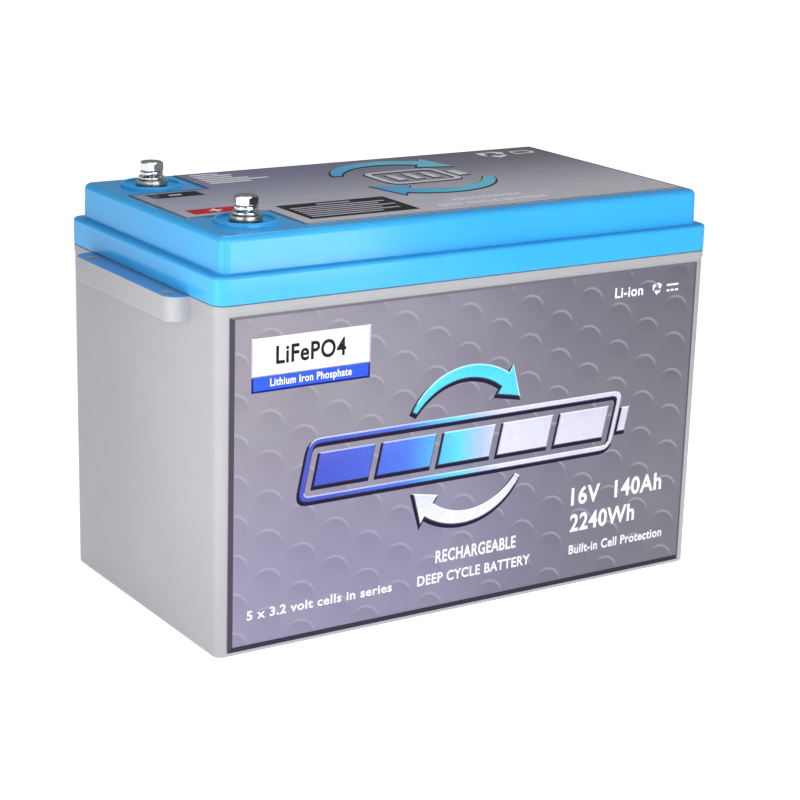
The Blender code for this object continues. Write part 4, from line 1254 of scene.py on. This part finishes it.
def top_art():
    border = Print(top_place)
    top_border(border)
    border.finish("top_border", inks("edge_foot"))
    polarity_patches()
    top_panel()

    def draw_arrows(art):
        cycle_arrows(art, TOP_SIGN, TOP_RING, 0.0072, ((158, 22), (-22, -158)), 0.0008)

    def draw_battery(art):
        battery_sign(art, TOP_SIGN, 0.0250, 0.0190, 0.0046, 0.0, 3, 0.0006)

    low, high = TOP_SIGN.x - TOP_RING, TOP_SIGN.x + TOP_RING
    arrows = sign_inks("top_arrows", TOP_STOPS, "x", low, high)
    sign("top_cycle_arrows", top_place, draw_arrows, arrows)
    battery = sign_inks("top_battery", PALE_STOPS, "x", low, high)
    sign("top_battery_sign", top_place, draw_battery, battery)
    white = Print(top_place)
    white.words("RECHARGEABLE", 0.0060, 0.0520, -0.0520, 0.0046, INK, BOLD)
    white.words("DEEP CYCLE BATTERY", -0.0100, 0.0620, -0.0635, 0.0052, INK, BOLD)
    recycling(white, (0.1105, 0.0615), 0.0074, 0.0020)
    outer, inner = slanted(0.1250, 0.1390, 0.0570, 0.0660), slanted(0.1264, 0.1376, 0.0584, 0.0646)
    white.frame(outer, inner, INK, 0.0, 0)
    white.flat(slanted(0.1392, 0.1406, 0.0598, 0.0632), INK)
    white.finish("top_white_print", inks("white"))


def make_inks():
    colours = {
        "white": (244, 242, 250), "soft_white": (196, 192, 202), "pale_violet": (206, 200, 220),
        "black": (26, 21, 27), "red": (206, 22, 26), "band_blue": (48, 92, 226), "band_deep": (14, 18, 120),
        "shadow": (22, 16, 52), "edge_left": (76, 68, 84), "edge_foot": (56, 48, 66),
        "edge_top": (116, 110, 122), "edge_right": (96, 92, 102),
    }
    return {name: ink(f"ink_{name}", srgb(*colour)) for name, colour in colours.items()}


INKS = make_inks()


def floor():
    mesh = bmesh.new()
    bmesh.ops.create_grid(mesh, x_segments=8, y_segments=8, size=12.0)
    paint = Paint("floor_paper", roughness=0.8, Emission_Color=(1.0, 1.0, 1.0, 1.0))
    shift = paint.span(paint.noise(3.0), 0.3, 0.7)
    paint.colour(paint.mix(shift, srgb(246, 246, 247), srgb(250, 250, 251)))
    reach = paint.node("ShaderNodeVectorMath", {0: paint.place}, operation="LENGTH").outputs["Value"]
    glow = paint.span(reach, 0.2, 2.0, 0.62, 0.84)
    paint.tree.links.new(glow, paint.shader.inputs["Emission Strength"])
    obj = mesh_object("floor", mesh, [paint.material])
    obj.location.z = -0.0002


def softbox(name, place, target, size, power):
    """A rectangular light at a place, turned to a target."""
    data = bpy.data.lights.new(name, "AREA")
    data.shape = "RECTANGLE"
    data.size, data.size_y = size
    data.energy = power
    obj = link_object(name, data)
    obj.location = place
    obj.rotation_mode = "QUATERNION"
    obj.rotation_quaternion = (Vector(target) - Vector(place)).to_track_quat("-Z", "Y")


def dark_card():
    """A black card on the right for the bolts to mirror; a view from behind sees through it."""
    mesh = bmesh.new()
    x, near, far, height = 0.44, -0.80, -0.06, 0.34
    corners = ((x, near, 0.0), (x, far, 0.0), (x, far, height), (x, near, height))
    mesh.faces.new([mesh.verts.new(corner) for corner in corners])
    paint = Paint("dark_card_paper", roughness=0.9)
    paint.colour(paint.mix(paint.noise(40.0), srgb(22, 22, 23), srgb(30, 30, 31)))
    obj = mesh_object("dark_card", mesh, [paint.material])
    obj.visible_camera = False


def studio():
    world = bpy.data.worlds.new("studio")
    world.use_nodes = True
    sky = world.node_tree.nodes["Background"].inputs
    sky["Color"].default_value = (0.93, 0.96, 1.0, 1.0)
    sky["Strength"].default_value = 0.20
    bpy.context.scene.world = world
    softbox("corner_key", (-0.26, -0.103, 0.13), (-0.159, -0.03, 0.11), (0.10, 0.25), 0.13)
    softbox("left_wash", (-1.10, -0.35, 0.30), (-0.159, -0.05, 0.10), (0.5, 0.5), 0.4)
    softbox("front_fill", (-0.02, -1.25, 0.35), (-0.02, -0.087, 0.10), (0.9, 0.5), 8.0)
    softbox("low_card", (0.19, -0.62, 0.100), (0.19, 0.0, 0.100), (0.165, 0.07), 0.26)
    softbox("overhead", (0.1, 0.3, 1.5), (0.0, 0.0, 0.2), (1.0, 1.0), 9.0)


def camera():
    data = bpy.data.cameras.new("camera")
    data.lens = CAMERA_LENS
    data.sensor_width = 36.0
    obj = link_object("camera", data)
    level = math.cos(CAMERA_DOWN)
    across, ahead = math.sin(CAMERA_HEADING) * level, math.cos(CAMERA_HEADING) * level
    forward = Vector((across, ahead, -math.sin(CAMERA_DOWN)))
    roll = Matrix.Rotation(CAMERA_ROLL, 3, "Z").to_quaternion()
    obj.rotation_mode = "QUATERNION"
    obj.location = CAMERA_PLACE
    obj.rotation_quaternion = forward.to_track_quat("-Z", "Y") @ roll
    bpy.context.scene.camera = obj


def repaint_frame(materials):
    """Give every CAD node its slot's material."""
    for subpart in frame["record"]["subparts"]:
        node = frame["nodes"][subpart["node"]]
        node.data.materials.clear()
        node.data.materials.append(materials[subpart["material_slot"]])
    for node, material in (
        ("back_label", side_label_print("back_label_print", mirrored=True)),
        ("top_label", top_label_print()),
    ):
        frame["nodes"][node].data.materials.clear()
        frame["nodes"][node].data.materials.append(material)


def main():
    bpy.context.scene.view_settings.view_transform = "Standard"
    camera()
    floor()
    dark_card()
    studio()
    materials = slot_materials()
    repaint_frame(materials)
    tub(materials)
    lid(materials)
    for tag, centre in terminal_centres().items():
        terminal(tag, centre, materials)
        flat_washer(tag, centre, materials)
        spring_washer(tag, centre, materials)
        bolt(tag, centre, materials)
    for node in ("base_foam", "front_foam", "back_foam", "left_foam", "right_foam"):
        foam_pad(node, materials)
    side_art("front", front_place, "x")
    side_art("back", back_place, "back_x")
    top_art()


main()
